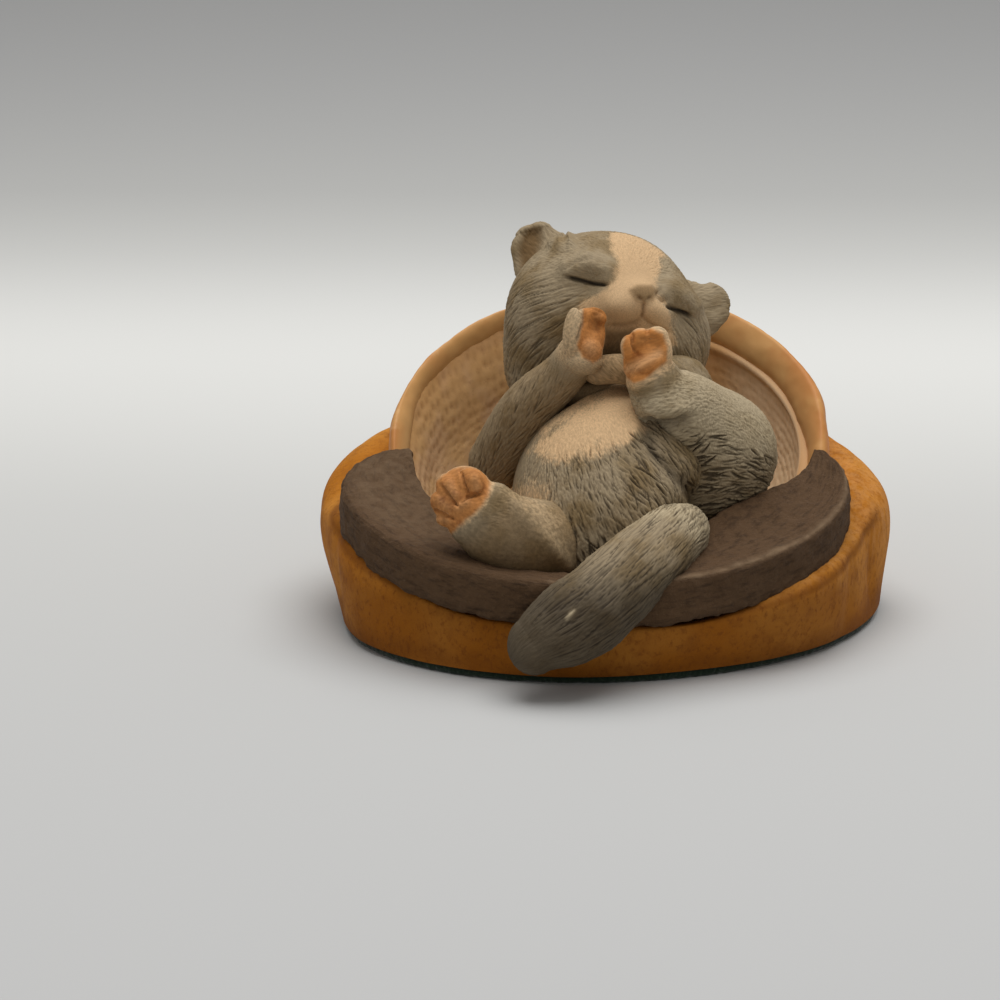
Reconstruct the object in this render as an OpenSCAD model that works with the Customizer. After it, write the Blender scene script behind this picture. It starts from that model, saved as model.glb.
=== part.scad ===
// Kitten asleep on its back in an upturned cap: a small hand-painted cast ornament.
// Millimetres, +Z up, the table at z = 0, the visor and the kitten's face towards -Y.
// The kitten's left side is at +X.

/* [Cap crown] */
// Width of the crown across its two side bulges
crown_w = 72.5; // [64:0.5:84]
// Depth of the crown from its front bulge to its back bulge
crown_d = 64; // [58:0.5:74]
// Height of the widest line at the crown's sides
belly_h = 12.5; // [9:0.5:15]
// How much higher the widest line runs at the back than at the sides
belly_climb = 5; // [2:0.5:7]
// How far the crown's shoulder stands above its widest line
shoulder_h = 7; // [5:0.5:10]
// Width of the flat foot that the crown stands on
foot_w = 70; // [60:0.5:76]
// Depth of the flat foot
foot_d = 58; // [48:0.5:66]
// Turn of the foot's oval seen from above, in degrees
foot_turn = 24; // [0:1:30]
// How straight the crown's sides run in to the foot, 1 for a round tuck
crown_tuck = 1.75; // [1:0.05:1.9]
// Depth of the soft folds that run up the crown
fold_depth = 0.5; // [0:0.1:1]
// Number of soft folds round the crown
fold_count = 7; // [4:1:11]
// Thickness of the felt pad under the foot
felt_t = 1; // [0.6:0.1:2]
// How far the felt pad stays inside the foot's edge
felt_inset = 0.5; // [0.2:0.1:2]

/* [Cap opening] */
// Width of the opening inside the lining
opening_w = 49; // [46:0.5:56]
// Depth of the opening inside the lining, seen from above
opening_d = 43; // [40:0.5:48]
// Height of the rim at the two sides of the opening
rim_h = 20; // [18:0.5:24]
// How far the opening leans forward, in degrees
opening_tilt = 27.5; // [23:0.5:30]
// How far the opening's right side stands higher than its left, in degrees
opening_roll = 1.5; // [0:0.1:3]
// How far the opening sits towards the back
opening_back = 4; // [2:0.5:6]
// How far the opening sits towards the right
opening_side = 0.8; // [0:0.1:2]
// Height of the lining's floor above the table
floor_h = 8; // [6:0.5:9]
// Thickness of the woven lining
lining_t = 1.6; // [1.2:0.1:2.4]
// Height of the rolled binding round the rim
binding_h = 3.6; // [2.8:0.1:4.4]
// Thickness of the rolled binding across the rim
binding_t = 3.2; // [2.4:0.1:3.8]

/* [Visor] */
// Width of the visor across its outer edge
visor_w = 67.8; // [64:0.2:76]
// How far the visor sits towards the right, less than nothing towards the left
visor_side = -1.1; // [-3:0.1:3]
// How far the visor's front edge stands ahead of the crown's middle
visor_front = 31.8; // [28:0.2:36]
// Thickness of the visor
visor_t = 6.2; // [5:0.1:7]
// Angle from the visor's middle to each of its tips
visor_span = 82; // [70:1:86]
// How far the visor's inner edge stands above the rim
visor_rise = 3; // [2:0.1:4]
// How far the visor's outer edge stands above the rim at the front
visor_lip = 6; // [4.5:0.1:7.5]
// How far the outer edge climbs towards the right tip
curl_right = 7.5; // [5:0.5:11]
// How far the outer edge climbs towards the left tip
curl_left = 8; // [5:0.5:11]

/* [Kitten's head] */
// Width of the head across the cheeks
head_w = 28.8; // [25:0.2:31]
// Depth of the skull from the brow to the back
head_d = 24; // [21:0.2:27]
// Height of the head from the jaw to the crown
head_h = 21.6; // [19:0.2:24]
// Middle of the head, above the middle of the rim's height
head_at = [1.1, 9.5, 16.2]; // [-20:0.1:20]
// Nod, lean and turn of the head, in degrees
head_turn = [-27, 17, 8]; // [-45:1:45]
// How far the long hair stands out under the cheeks
ruff = 3.4; // [1:0.1:5]
// Width of the muzzle
muzzle_w = 9; // [7:0.2:11]
// How far the muzzle's nose stands ahead of the head's middle
nose_reach = 15.2; // [13.5:0.1:17]
// Width of an ear at its root
ear_w = 10.2; // [8:0.2:12]
// Length of an ear from its buried root to its tip
ear_l = 10; // [8:0.2:12]
// How far an ear stands out from the head's middle
ear_reach = 16; // [14.5:0.1:18]
// Angle of the pricked right ear above the head's middle
right_ear_up = 28; // [20:1:40]
// Angle of the drooping left ear above the head's middle
left_ear_up = 13; // [4:1:30]
// How far an ear's tip leans up from the middle of its root
ear_lean = 2.2; // [0:0.1:3]
// Thickness of an ear
ear_t = 3.2; // [2.4:0.1:4]
// Depth of the hollow in the front of an ear
ear_hollow = 1.1; // [0.4:0.1:1.6]

/* [Kitten's body] */
// Width of the body across the belly
body_w = 27; // [24:0.2:31]
// Length of the body from the rump to the chest
body_l = 30; // [26:0.2:34]
// Depth of the body through the belly
body_h = 29; // [26:0.2:32]
// Middle of the belly, from the middle of the rim's height
body_at = [2.2, -5.6, -4.4]; // [-20:0.1:20]
// Thickness of the fore legs at the elbow
fore_leg_d = 7.4; // [6:0.1:9]
// Thickness of the fore legs at the wrist
wrist_d = 5.6; // [4.4:0.1:6.6]
// Thickness of the thighs
thigh_d = 16.6; // [14:0.2:19]
// Thickness of the hind legs at the ankle
ankle_d = 7.6; // [6:0.1:9]
// Width of a fore paw
fore_paw_w = 6; // [5:0.1:7]
// Length of a fore paw
fore_paw_l = 7.6; // [6.4:0.1:9]
// Width of a hind paw
hind_paw_w = 6.6; // [5.6:0.1:7.6]
// Length of a hind paw
hind_paw_l = 7.6; // [6.4:0.1:9]
// Width of the tail at its fullest
tail_w = 11.6; // [9:0.2:14]
// Thickness of the tail at its fullest
tail_t = 8.4; // [7:0.2:10]

/* [Fits] */
// Thickness of the glue line between two pieces
glue_gap = 0.15; // [0.05:0.05:0.3]

/* [Hidden] */
cap_colour = "#b9793c";
lining_colour = "#c49a6a";
binding_colour = "#cf9a62";
visor_colour = "#5b4634";
felt_colour = "#1f2a20";
coat_colour = "#8a8173";
pale_colour = "#b8a68c";

// Points round the cap, round a body form and round a limb
ROUND = 36;
FORM_ROUND = 24;
LIMB_ROUND = 16;
// Points round a toe
TOE_FN = 10;

// Swellings of the face, [side, up, height, spread]: muzzle, nose, whisker pads, the hollow of the chin,
// closed lids, the hollows under them, the cheeks, the long hair under them and the flat left temple
CHEEK_H = 1.2;
MUZZLE_H = nose_reach - head_d / 2 - 2;
PAD_SIDE = muzzle_w;
FACE = [[0, -4, MUZZLE_H, 22], [0, 1, 1.1, 7], [PAD_SIDE, -8, 1.7, 11], [-PAD_SIDE, -8, 1.7, 11],
    [0, -22, -0.8, 9], [30, 11, 0.9, 11], [-30, 11, 0.9, 11], [31, 0, -0.6, 8], [-31, 0, -0.6, 8],
    [64, -20, CHEEK_H / 2, 28], [-64, -20, CHEEK_H, 28], [-108, -50, ruff, 26], [-108, -64, ruff / 2, 20],
    [78, -42, ruff / 3, 20], [72, 32, -1.6, 32]];
// Angles of the head's rings from its back to the nose, close together over the face
HEAD_RINGS = [18, 36, 54, 72, 90, 104, 114, 123, 131, 138, 145, 151, 157, 162, 167, 172, 176];
HEAD_ROUND = 32;

rim_rx = opening_w / 2 + lining_t;
rim_ry = opening_d / 2 + lining_t;
rim_rise = tan(opening_tilt);
belly_rx = crown_w / 2;
belly_ry = crown_d / 2;

// Everything about the kitten is placed from this point, at the height of the rim's sides
lap = [0, 0, rim_h];

// The stations of the legs and the tail are given for a body of this size, and stretch with it
STATION_BODY = [27, 30, 29];
function placed(p) = lap + [p[0] * body_w / STATION_BODY[0], p[1] * body_l / STATION_BODY[1],
    p[2] * body_h / STATION_BODY[2]];

// Curves and frames

function mix(a, b, t) = a + (b - a) * t;
function unit(v) = v / norm(v);
function oval(rx, ry, a) = [rx * cos(a), ry * sin(a)];
function turned(p, angle) = [p[0] * cos(angle) - p[1] * sin(angle), p[0] * sin(angle) + p[1] * cos(angle)];
function spline(a, b, c, d, t) =
    0.5 * (2 * b + (c - a) * t + (2 * a - 5 * b + 4 * c - d) * t * t + (3 * b - a - 3 * c + d) * t * t * t);

// A smooth run through stations, with a number of steps between each pair
function run(s, steps) = let (n = len(s) - 1)
    [for (i = [0:n - 1]) for (k = [0:(i == n - 1 ? steps : steps - 1)])
    spline(s[max(i - 1, 0)], s[i], s[i + 1], s[min(i + 2, n)], k / steps)];

// A closed skin over rings of equal count that turn left as they advance, with a point at each end
module skin(start, rings, end) {
    n = len(rings[0]);
    last = len(rings) - 1;
    points = concat([start], [for (ring = rings) each ring], [end]);
    tail_point = len(points) - 1;
    faces = concat(
        [for (j = [0:n - 1]) [0, 1 + j, 1 + (j + 1) % n]],
        [for (i = [0:last - 1]) for (j = [0:n - 1]) let (
            a = 1 + i * n + j, b = 1 + i * n + (j + 1) % n) each [[a, b + n, b], [a, a + n, b + n]]],
        [for (j = [0:n - 1]) [tail_point, 1 + last * n + (j + 1) % n, 1 + last * n + j]]);
    polyhedron(points, faces, convexity = 8);
}

// A ring of points across a path, wide along one axis and thick along the other
function ring(at, along, face, half_w, half_t, n) = let (
    side = unit(cross(along, face)), out = cross(along, side))
    [for (j = [0:n - 1]) at + side * half_w * cos(360 * j / n) + out * half_t * sin(360 * j / n)];

// A round-ended limb through stations [x, y, z, half width, half thickness], grown outwards by grow
module limb(stations, face, steps, grow = 0, n = LIMB_ROUND) {
    path = run(stations, steps);
    last = len(path) - 1;
    at = [for (p = path) [p[0], p[1], p[2]]];
    along = [for (i = [0:last]) unit(at[min(i + 1, last)] - at[max(i - 1, 0)])];
    caps = [75, 45, 18];
    head_len = min(path[0][3], path[0][4]) + grow;
    foot_len = min(path[last][3], path[last][4]) + grow;
    rings = concat(
        [for (c = caps) ring(at[0] - along[0] * head_len * sin(c), along[0], face,
            (path[0][3] + grow) * cos(c), (path[0][4] + grow) * cos(c), n)],
        [for (i = [0:last]) ring(at[i], along[i], face, path[i][3] + grow, path[i][4] + grow, n)],
        [for (k = [0:len(caps) - 1]) let (c = caps[len(caps) - 1 - k])
            ring(at[last] + along[last] * foot_len * sin(c), along[last], face,
                (path[last][3] + grow) * cos(c), (path[last][4] + grow) * cos(c), n)]);
    skin(at[0] - along[0] * head_len, rings, at[last] + along[last] * foot_len);
}

// Distance from the origin, along a direction, to the far side of an ellipsoid
function reach(d, c, r) = let (
    q = [d[0] / r[0], d[1] / r[1], d[2] / r[2]],
    o = [c[0] / r[0], c[1] / r[1], c[2] / r[2]],
    a = q * q, b = q * o, k = b * b - a * (o * o - 1))
    k <= 0 ? 0 : max(0, (b + sqrt(k)) / a);

// A form blended from ellipsoids [centre, radii] that all overlap round the origin
BLEND = 9;
function blended(d, parts) = let (s = [for (p = parts) pow(reach(d, p[0], p[1]), BLEND)])
    pow(s * [for (v = s) 1], 1 / BLEND);
module form(parts, n, m, grow = 0) {
    skin([0, blended([0, 1, 0], parts) + grow, 0],
        [for (i = [1:m - 1]) [for (j = [0:n - 1]) let (
            t = 180 * i / m, p = 360 * j / n, d = [sin(t) * cos(p), cos(t), sin(t) * sin(p)])
            d * (blended(d, parts) + grow)]],
        [0, -blended([0, -1, 0], parts) - grow, 0]);
}

// Cap

function rim_at(a, rx = rim_rx, ry = rim_ry, drop = 0) =
    [opening_side + rx * cos(a), opening_back + ry * sin(a),
        rim_h + ry * sin(a) * rim_rise + rx * cos(a) * tan(opening_roll) - drop];
function foot_at(a, inset, z) = let (
    p = turned(oval(foot_w / 2 - inset, foot_d / 2 - inset, a - foot_turn), foot_turn)) [p[0], p[1], z];
// The widest line drops this much more at the front than it climbs at the back
FRONT_DROP = 1.5;
function belly_at(a) = let (s = sin(a))
    [belly_rx * cos(a), belly_ry * s, belly_h + belly_climb * s * (s < 0 ? FRONT_DROP : 1)];
// Angle by which the first fold stands off the crown's right side
FOLD_START = 40;
function folded(p, a) = let (k = fold_depth * sin(fold_count * a + FOLD_START))
    [p[0] + k * cos(a), p[1] + k * sin(a), p[2]];

// How far the crown's shoulder stays outside the wall above it, and half of its least drop below the rim
WALL = 0.4;
function shoulder_at(a) = let (out = lining_t + WALL, rim = rim_at(a, rim_rx + out, rim_ry + out))
    [rim[0], rim[1], min(rim[2] - 2 * WALL, belly_at(a)[2] + shoulder_h)];

// Rows of the crown's outside, from the foot out to its widest line, in to its shoulder and up to the rim
function crown_rows() = concat(
    [for (t = [0, 25, 50, 72]) [for (j = [0:ROUND - 1]) let (a = 360 * j / ROUND,
        foot = foot_at(a, 0, felt_t), belly = belly_at(a),
        m = pow(sin(t), crown_tuck), climb = 1 - pow(cos(t), crown_tuck))
        folded([mix(foot[0], belly[0], m), mix(foot[1], belly[1], m), mix(foot[2], belly[2], climb)], a)]],
    [for (t = [0, 22, 44, 66, 90]) [for (j = [0:ROUND - 1]) let (a = 360 * j / ROUND,
        belly = belly_at(a), top = shoulder_at(a), m = 1 - cos(t),
        p = [mix(belly[0], top[0], m), mix(belly[1], top[1], m), mix(belly[2], top[2], sin(t))])
        t == 90 ? p : folded(p, a)]],
    [[for (j = [0:ROUND - 1]) rim_at(360 * j / ROUND, rim_rx + lining_t, rim_ry + lining_t)]]);

// Rows of a bowl let into the opening, from the rim down to its floor, out beyond the lining's face
BOWL_FULLNESS = 0.5;
function bowl_rows(out) = [for (t = [0, 20, 38, 54, 68, 80]) [for (j = [0:ROUND - 1]) let (
    a = 360 * j / ROUND, rim = rim_at(a, opening_w / 2 + out, opening_d / 2 + out),
    m = pow(cos(t), BOWL_FULLNESS))
    [rim[0] * m, rim[1] * m, mix(rim[2], floor_h - out, sin(t))]]];
function bowl_floor(out) = [0, 0, floor_h - out];

// The crown with a bowl let into it
module crown_form(out) {
    skin([0, 0, felt_t], concat(crown_rows(), bowl_rows(out)), bowl_floor(out));
}

// Bevel of the visor's outer edges, the swell of its top, and how much of the curl its inner edge follows
VISOR_BEVEL = 0.8;
VISOR_SWELL = 0.3;
INNER_CURL_RIGHT = -0.16;
INNER_CURL_LEFT = 0.03;
// How far the inner edge swells up between the visor's middle and its right tip
INNER_SWELL = 3;
// How blunt the visor's two tips are, and how much of its breadth is gone at them
TIP_BLUNT = 12;
TIP_LOSS = 0.8;
// Cross-section of the visor at an angle, grown outwards by grow and drawn down by under
function visor_ring(a, grow, under) = let (
    u = (a - 270) / visor_span,
    wide = sqrt(1 - TIP_LOSS * pow(abs(u), TIP_BLUNT)),
    rim = rim_at(a),
    full = [visor_side + visor_w / 2 * cos(a), visor_front * sin(a)],
    curl = u > 0 ? curl_right : curl_left,
    inner_curl = u > 0 ? INNER_CURL_RIGHT : INNER_CURL_LEFT,
    swell = INNER_SWELL * max(sin(180 * u), 0),
    inner = [rim[0], rim[1], rim[2] + visor_rise + swell + inner_curl * curl * u * u],
    front_z = rim_at(270)[2] + visor_lip,
    outer = mix(inner, [full[0], full[1], front_z + curl * u * u], wide),
    mid = mix(inner, outer, 0.5),
    way = unit([outer[0] - inner[0], outer[1] - inner[1], 0]),
    up = [0, 0, 1],
    down = visor_t + grow + under)
    [inner - way * grow + up * grow, mid + up * (grow + VISOR_SWELL), outer - way * VISOR_BEVEL + up * grow,
        outer + way * grow - up * VISOR_BEVEL, outer + way * grow - up * (visor_t - VISOR_BEVEL),
        outer - way * VISOR_BEVEL - up * down, mid - up * down, inner - way * grow - up * down];
module visor_form(grow = 0, under = 0) {
    steps = 30;
    tip = visor_span;
    rings = [for (i = [0:steps]) visor_ring(270 - tip + 2 * tip * i / steps, grow, under)];
    function middle(r) = (r[0] + r[2] + r[5] + r[7]) / 4;
    first = middle(rings[0]);
    last = middle(rings[steps]);
    skin(first - [grow, 0, 0] + [0, grow, 0], rings, last + [grow, grow, 0]);
}

module felt_pad() {
    color(felt_colour) linear_extrude(felt_t) polygon(
        [for (j = [0:2 * ROUND - 1]) let (p = foot_at(180 * j / ROUND, felt_inset, 0)) [p[0], p[1]]]);
}

module cap_crown() {
    color(cap_colour) difference() {
        crown_form(lining_t + glue_gap);
        visor_form(glue_gap);
    }
}

module cap_lining() {
    color(lining_colour) difference() {
        skin(bowl_floor(lining_t), concat([for (i = [5:-1:0]) bowl_rows(lining_t)[i]], bowl_rows(0)),
            bowl_floor(0));
        visor_form(glue_gap);
    }
}

// The binding ends where the visor begins, run into it by this angle
BINDING_RUN_IN = 6;
module rim_binding() {
    steps = 34;
    from = visor_span + BINDING_RUN_IN - 90;
    sweep = 180 - 2 * from;
    lift = binding_h / 2 + glue_gap;
    at = [for (i = [0:steps]) rim_at(from + sweep * i / steps, drop = -lift)];
    color(binding_colour) difference() {
        limb([for (p = at) [p[0], p[1], p[2], binding_t / 2, binding_h / 2]],
            [0, -sin(opening_tilt), cos(opening_tilt)], 1, n = 10);
        visor_form(glue_gap);
    }
}

module cap_visor() {
    color(visor_colour) visor_form();
}

// What the kitten lies on: the lined cap with its visor
module bed(grow) {
    crown_form(-grow);
    visor_form(grow);
}

// Kitten

module torso_form(grow = 0) {
    translate(lap + body_at) form([
        [[0, 0, 0], [body_w / 2, body_l / 2, body_h / 2]],
        [[body_w * -0.05, body_l * 0.3, body_h * 0.2], [body_w * 0.42, body_l * 0.36, body_h * 0.36]],
        [[body_w * -0.11, body_l * 0.56, body_h * 0.22], [body_w * 0.46, body_l * 0.36, body_h * 0.3]],
        [[0, body_l * -0.27, body_h * -0.08], [body_w * 0.4, body_l * 0.3, body_h * 0.36]]],
        FORM_ROUND, 16, grow);
}

module torso() {
    color(coat_colour) difference() {
        torso_form();
        bed(glue_gap);
        visor_form(glue_gap, visor_t);
    }
}

module at_head() {
    translate(lap + head_at) rotate(head_turn) children();
}

// Direction on the head, in degrees to the kitten's left of the nose and above it
function facing(side, up) = [sin(side) * cos(up), -cos(side) * cos(up), sin(up)];

// A soft swelling [side, up, height, spread] of the head
function swelling(d, f) = f[2] * exp(-pow(acos(min(d * facing(f[0], f[1]), 1)) / f[3], 2));
function head_reach(d) = let (s = [for (f = FACE) swelling(d, f)])
    reach(d, [0, 0, 0], [head_w / 2 - CHEEK_H, head_d / 2, head_h / 2]) + s * [for (v = s) 1];
module head_form(grow = 0) {
    at_head() skin([0, head_reach([0, 1, 0]) + grow, 0],
        [for (t = HEAD_RINGS) [for (j = [0:HEAD_ROUND - 1]) let (
            p = 360 * j / HEAD_ROUND, d = [sin(t) * cos(p), cos(t), sin(t) * sin(p)])
            d * (head_reach(d) + grow)]],
        [0, -head_reach([0, -1, 0]) - grow, 0]);
}

module head() {
    color(coat_colour) difference() {
        head_form();
        torso_form(glue_gap);
        bed(glue_gap);
    }
}

// An ear: a blunt three-cornered leaf that stands out sideways from the head, hollowed at the front
EAR_FRONT = 0.5;
function ear_run() =
    [for (s = [[1, 0, 0.48, 0.5], [0.5, 0.2, 0.47, 0.5], [0.25, 0.55, 0.32, 0.42], [0.1, 1, 0.15, 0.31]])
    [ear_reach - ear_l * s[0], EAR_FRONT, ear_lean * s[1], ear_w * s[2], ear_t * s[3]]];
module ear(side, up) {
    color(coat_colour) difference() {
        at_head() mirror([side < 0 ? 1 : 0, 0, 0]) rotate([0, -up, 0]) difference() {
            limb(ear_run(), [0, -1, 0], 3);
            translate([ear_reach - ear_l * 0.45, EAR_FRONT + ear_hollow - ear_t, ear_lean * 0.4])
                form([[[0, 0, 0], [ear_l * 0.32, ear_t / 2, ear_w * 0.3]]], 18, 12);
        }
        head_form(glue_gap);
    }
}
module right_ear() { ear(-1, right_ear_up); }
module left_ear() { ear(1, left_ear_up); }

// A paw with its palm turned to -Y and its toes upwards: four close toes, their pads and the palm's pad
module paw(w, l) {
    toe = w * 0.21;
    step = w * 0.2;
    hull() {
        translate([0, 0, -l * 0.24]) sphere(w * 0.4, $fn = 16);
        translate([0, 0, l * 0.1]) scale([1, 0.74, 1]) sphere(w * 0.46, $fn = 16);
    }
    for (k = [-1.5:1:1.5]) let (top = l * (0.5 - 0.03 * k * k) - toe) {
        hull() {
            translate([k * step * 0.9, 0, 0]) sphere(toe, $fn = TOE_FN);
            translate([k * step * 1.15, -0.2, top]) sphere(toe, $fn = TOE_FN);
        }
        hull() {
            translate([k * step, -toe * 0.9, top - toe * 0.9]) sphere(toe * 0.5, $fn = TOE_FN);
            translate([k * step * 1.1, -toe * 0.75, top]) sphere(toe * 0.55, $fn = TOE_FN);
        }
    }
    hull() for (x = [-1, 1]) translate([x * w * 0.16, -w * 0.27, -l * 0.16]) sphere(w * 0.17, $fn = TOE_FN);
}

// Stations of the legs and the tail: [x, y, z, half width, half thickness]
function legs(points, widths) =
    [for (i = [0:len(points) - 1]) concat(placed(points[i]), [widths[i], widths[i]])];
ELBOW = [-13.2, 0.2, -0.4];
SHOULDER = [-7.6, 7.4, 5];
function right_foreleg_run() = legs([ELBOW, [-9.4, -3, 7.2], [-4.8, -5, 12.4], [-3, -6.4, 15.4]],
    [fore_leg_d / 2, fore_leg_d * 0.47, wrist_d / 2, wrist_d * 0.46]);
function left_foreleg_run() = legs([[10, 3, 7.6], [9.8, -1, 10], [6.4, -4.8, 12], [1.4, -6.8, 13.2]],
    [fore_leg_d * 0.55, fore_leg_d / 2, wrist_d / 2, wrist_d * 0.38]);
function right_hind_leg_run() = legs(
    [[-4, -12, -7.6], [-7.5, -18.5, -5.9], [-11.7, -21.2, -3.6], [-14.7, -22, -1.1]],
    [thigh_d * 0.34, thigh_d * 0.34, ankle_d * 0.66, ankle_d * 0.56]);
function left_hind_leg_run() = legs(
    [[11.5, -5, -1.5], [14.7, -6, 2.8], [11.2, -8.4, 7.8], [7.6, -10, 10.8], [6.2, -10.6, 13]],
    [thigh_d * 0.4, thigh_d * 0.43, ankle_d * 0.68, ankle_d * 0.54, ankle_d * 0.44]);
function tail_run() = let (w = tail_w / 2, t = tail_t / 2) [for (s = [
    [[9.1, -15, -5.1], 0.72, 0.85], [[8.5, -21, -4], 0.74, 0.92], [[5.2, -27, -5.3], 0.82, 1],
    [[-0.4, -32.5, -9.1], 0.92, 1], [[-4.1, -34.5, -11.2], 0.83, 0.92], [[-7.7, -35.4, -13.3], 0.66, 0.8],
    [[-9.1, -35.8, -14.5], 0.52, 0.66]])
    concat(placed(s[0]), [s[1] * w, s[2] * t])];

LEG_FACE = [0.2, -0.9, 0.3];
TAIL_FACE = [-0.1, -0.75, 0.65];

module right_foreleg_form() {
    limb(right_foreleg_run(), LEG_FACE, 3);
    hull() {
        translate(placed(ELBOW)) sphere(fore_leg_d * 0.47, $fn = LIMB_ROUND);
        translate(placed(SHOULDER)) sphere(fore_leg_d * 0.55, $fn = LIMB_ROUND);
    }
}
module left_foreleg_form() { limb(left_foreleg_run(), LEG_FACE, 3); }
module right_hind_leg_form(grow = 0) { limb(right_hind_leg_run(), [0.1, -0.5, 0.9], 4, grow); }
module left_hind_leg_form(grow = 0) { limb(left_hind_leg_run(), LEG_FACE, 4, grow); }
module right_forepaw() {
    translate(placed([-2.2, -7.3, 17.7])) rotate([-7, 9, 28]) paw(fore_paw_w, fore_paw_l);
}
module raised_paw() {
    translate(placed([5.4, -11.6, 16])) rotate([-8, -4, 6]) paw(hind_paw_w, hind_paw_l);
}
// The resting foot is pressed broader than the raised one
RESTING_SPREAD = 1.18;
module resting_paw() {
    translate(placed([-16.8, -22, 0.9])) rotate([-14, -10, -30])
        paw(hind_paw_w * RESTING_SPREAD, hind_paw_l);
}

module right_foreleg() {
    color(coat_colour) difference() {
        union() {
            right_foreleg_form();
            right_forepaw();
        }
        torso_form(glue_gap);
        head_form(glue_gap);
        bed(glue_gap);
    }
}

module left_hind_leg() {
    color(coat_colour) difference() {
        union() {
            left_hind_leg_form();
            raised_paw();
        }
        torso_form(glue_gap);
        head_form(glue_gap);
        bed(glue_gap);
    }
}

module left_foreleg() {
    color(coat_colour) difference() {
        left_foreleg_form();
        torso_form(glue_gap);
        head_form(glue_gap);
        left_hind_leg_form(glue_gap);
        bed(glue_gap);
    }
}

module right_hind_leg() {
    color(pale_colour) difference() {
        union() {
            right_hind_leg_form();
            resting_paw();
        }
        torso_form(glue_gap);
        bed(glue_gap);
    }
}

module tail() {
    color(coat_colour) difference() {
        limb(tail_run(), TAIL_FACE, 3, n = 20);
        torso_form(glue_gap);
        left_hind_leg_form(glue_gap);
        right_hind_leg_form(glue_gap);
        bed(glue_gap);
    }
}

felt_pad();
cap_crown();
cap_lining();
rim_binding();
cap_visor();
torso();
head();
right_ear();
left_ear();
right_foreleg();
left_foreleg();
right_hind_leg();
left_hind_leg();
tail();
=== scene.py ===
"""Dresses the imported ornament, a kitten asleep on its back in an upturned cap.

Every piece is shaped in millimetres from a primitive, carved and painted, and then brought to metres
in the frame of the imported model. The kitten's left side is at +X and the visor is towards -Y.
"""
import logging
import math
from dataclasses import dataclass, field
from enum import Enum
from typing import Callable, Optional

import bpy
import numpy as np
from mathutils import Euler, Matrix, Vector


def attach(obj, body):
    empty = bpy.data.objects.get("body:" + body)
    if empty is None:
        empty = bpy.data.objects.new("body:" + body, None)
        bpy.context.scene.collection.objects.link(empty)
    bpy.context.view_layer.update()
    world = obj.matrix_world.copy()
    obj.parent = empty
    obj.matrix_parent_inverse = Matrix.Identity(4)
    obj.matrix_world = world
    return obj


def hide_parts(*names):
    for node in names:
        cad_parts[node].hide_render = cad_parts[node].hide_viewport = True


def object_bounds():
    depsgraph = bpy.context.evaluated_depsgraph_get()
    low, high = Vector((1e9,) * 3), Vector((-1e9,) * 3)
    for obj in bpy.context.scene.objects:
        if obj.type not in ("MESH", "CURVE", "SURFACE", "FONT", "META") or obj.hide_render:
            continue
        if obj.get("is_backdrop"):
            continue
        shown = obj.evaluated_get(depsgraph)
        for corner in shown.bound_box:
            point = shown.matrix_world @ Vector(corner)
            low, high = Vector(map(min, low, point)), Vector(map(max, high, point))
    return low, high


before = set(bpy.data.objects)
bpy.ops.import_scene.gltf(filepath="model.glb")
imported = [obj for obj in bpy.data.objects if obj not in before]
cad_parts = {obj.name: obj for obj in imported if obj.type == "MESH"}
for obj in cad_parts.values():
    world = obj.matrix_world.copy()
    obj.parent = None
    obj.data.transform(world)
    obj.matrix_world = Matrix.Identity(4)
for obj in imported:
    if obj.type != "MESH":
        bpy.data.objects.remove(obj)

Array = np.ndarray
Field = Callable[[Array], Array]
Object = bpy.types.Object
Material = bpy.types.Material
Socket = bpy.types.NodeSocket

LOG = logging.getLogger("kitten_cap")
MM = 0.001
TINY = 1e-9
QUARTER = math.pi / 2
UP = np.array([0.0, 0.0, 1.0])
RUN = "run"
# The kitten's lap, from which its places are measured.
LAP = np.array([0.0, 0.0, 20.0])


class Slot(Enum):
    """Material slots of the record."""

    FELT = "felt"
    CAP = "cap_paint"
    LINING = "lining_paint"
    BINDING = "binding_paint"
    VISOR = "visor_paint"
    COAT = "coat_paint"


class Mask(Enum):
    """Painted masks that a mesh carries for its finish, some of which hold painted light and shade."""

    CREAM = "cream"
    SOLE = "sole"
    # Brown of the nose and other brown parts, also painted shade below the muzzle and under the arm.
    NOSE = "nose"
    # Dark paint in grooves, together with painted shade in creases, hollows, under forms and on faces turned
    # from the light.
    WASH = "wash"
    CARVE = "carve"
    # Pale dry brush, together with painted highlights on faces turned to the light.
    DUST = "dust"
    WEAVE = "weave"
    BAND = "band"


def mix(a: Array, b: Array, t: Array) -> Array:
    """Goes from a to b as t goes from 0 to 1."""
    return a + (b - a) * t


def ease(low: float, high: float, x: Array) -> Array:
    """Rises smoothly from 0 at low to 1 at high."""
    t = np.clip((x - low) / (high - low), 0.0, 1.0)
    return t * t * (3.0 - 2.0 * t)


def bell(x: Array, width: float) -> Array:
    """A soft bump that is 1 at zero and fades over the width."""
    return np.exp(-((x / width) ** 2))


def unit(v: Array) -> Array:
    """Vectors of length one in the same directions."""
    return v / np.maximum(np.linalg.norm(v, axis=-1, keepdims=True), TINY)


def turning(degrees: tuple) -> Array:
    """Rotation matrix of a turn about X, then Y, then Z.

    Args:
        degrees: the three angles.

    Returns:
        A 3 by 3 matrix.
    """
    return np.array(Euler([math.radians(d) for d in degrees], "XYZ").to_matrix())


def standing(place: tuple, degrees: tuple) -> Matrix:
    """Transform that turns a thing and brings it to a place."""
    return Matrix.Translation(place) @ Matrix(turning(degrees).tolist()).to_4x4()


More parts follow.
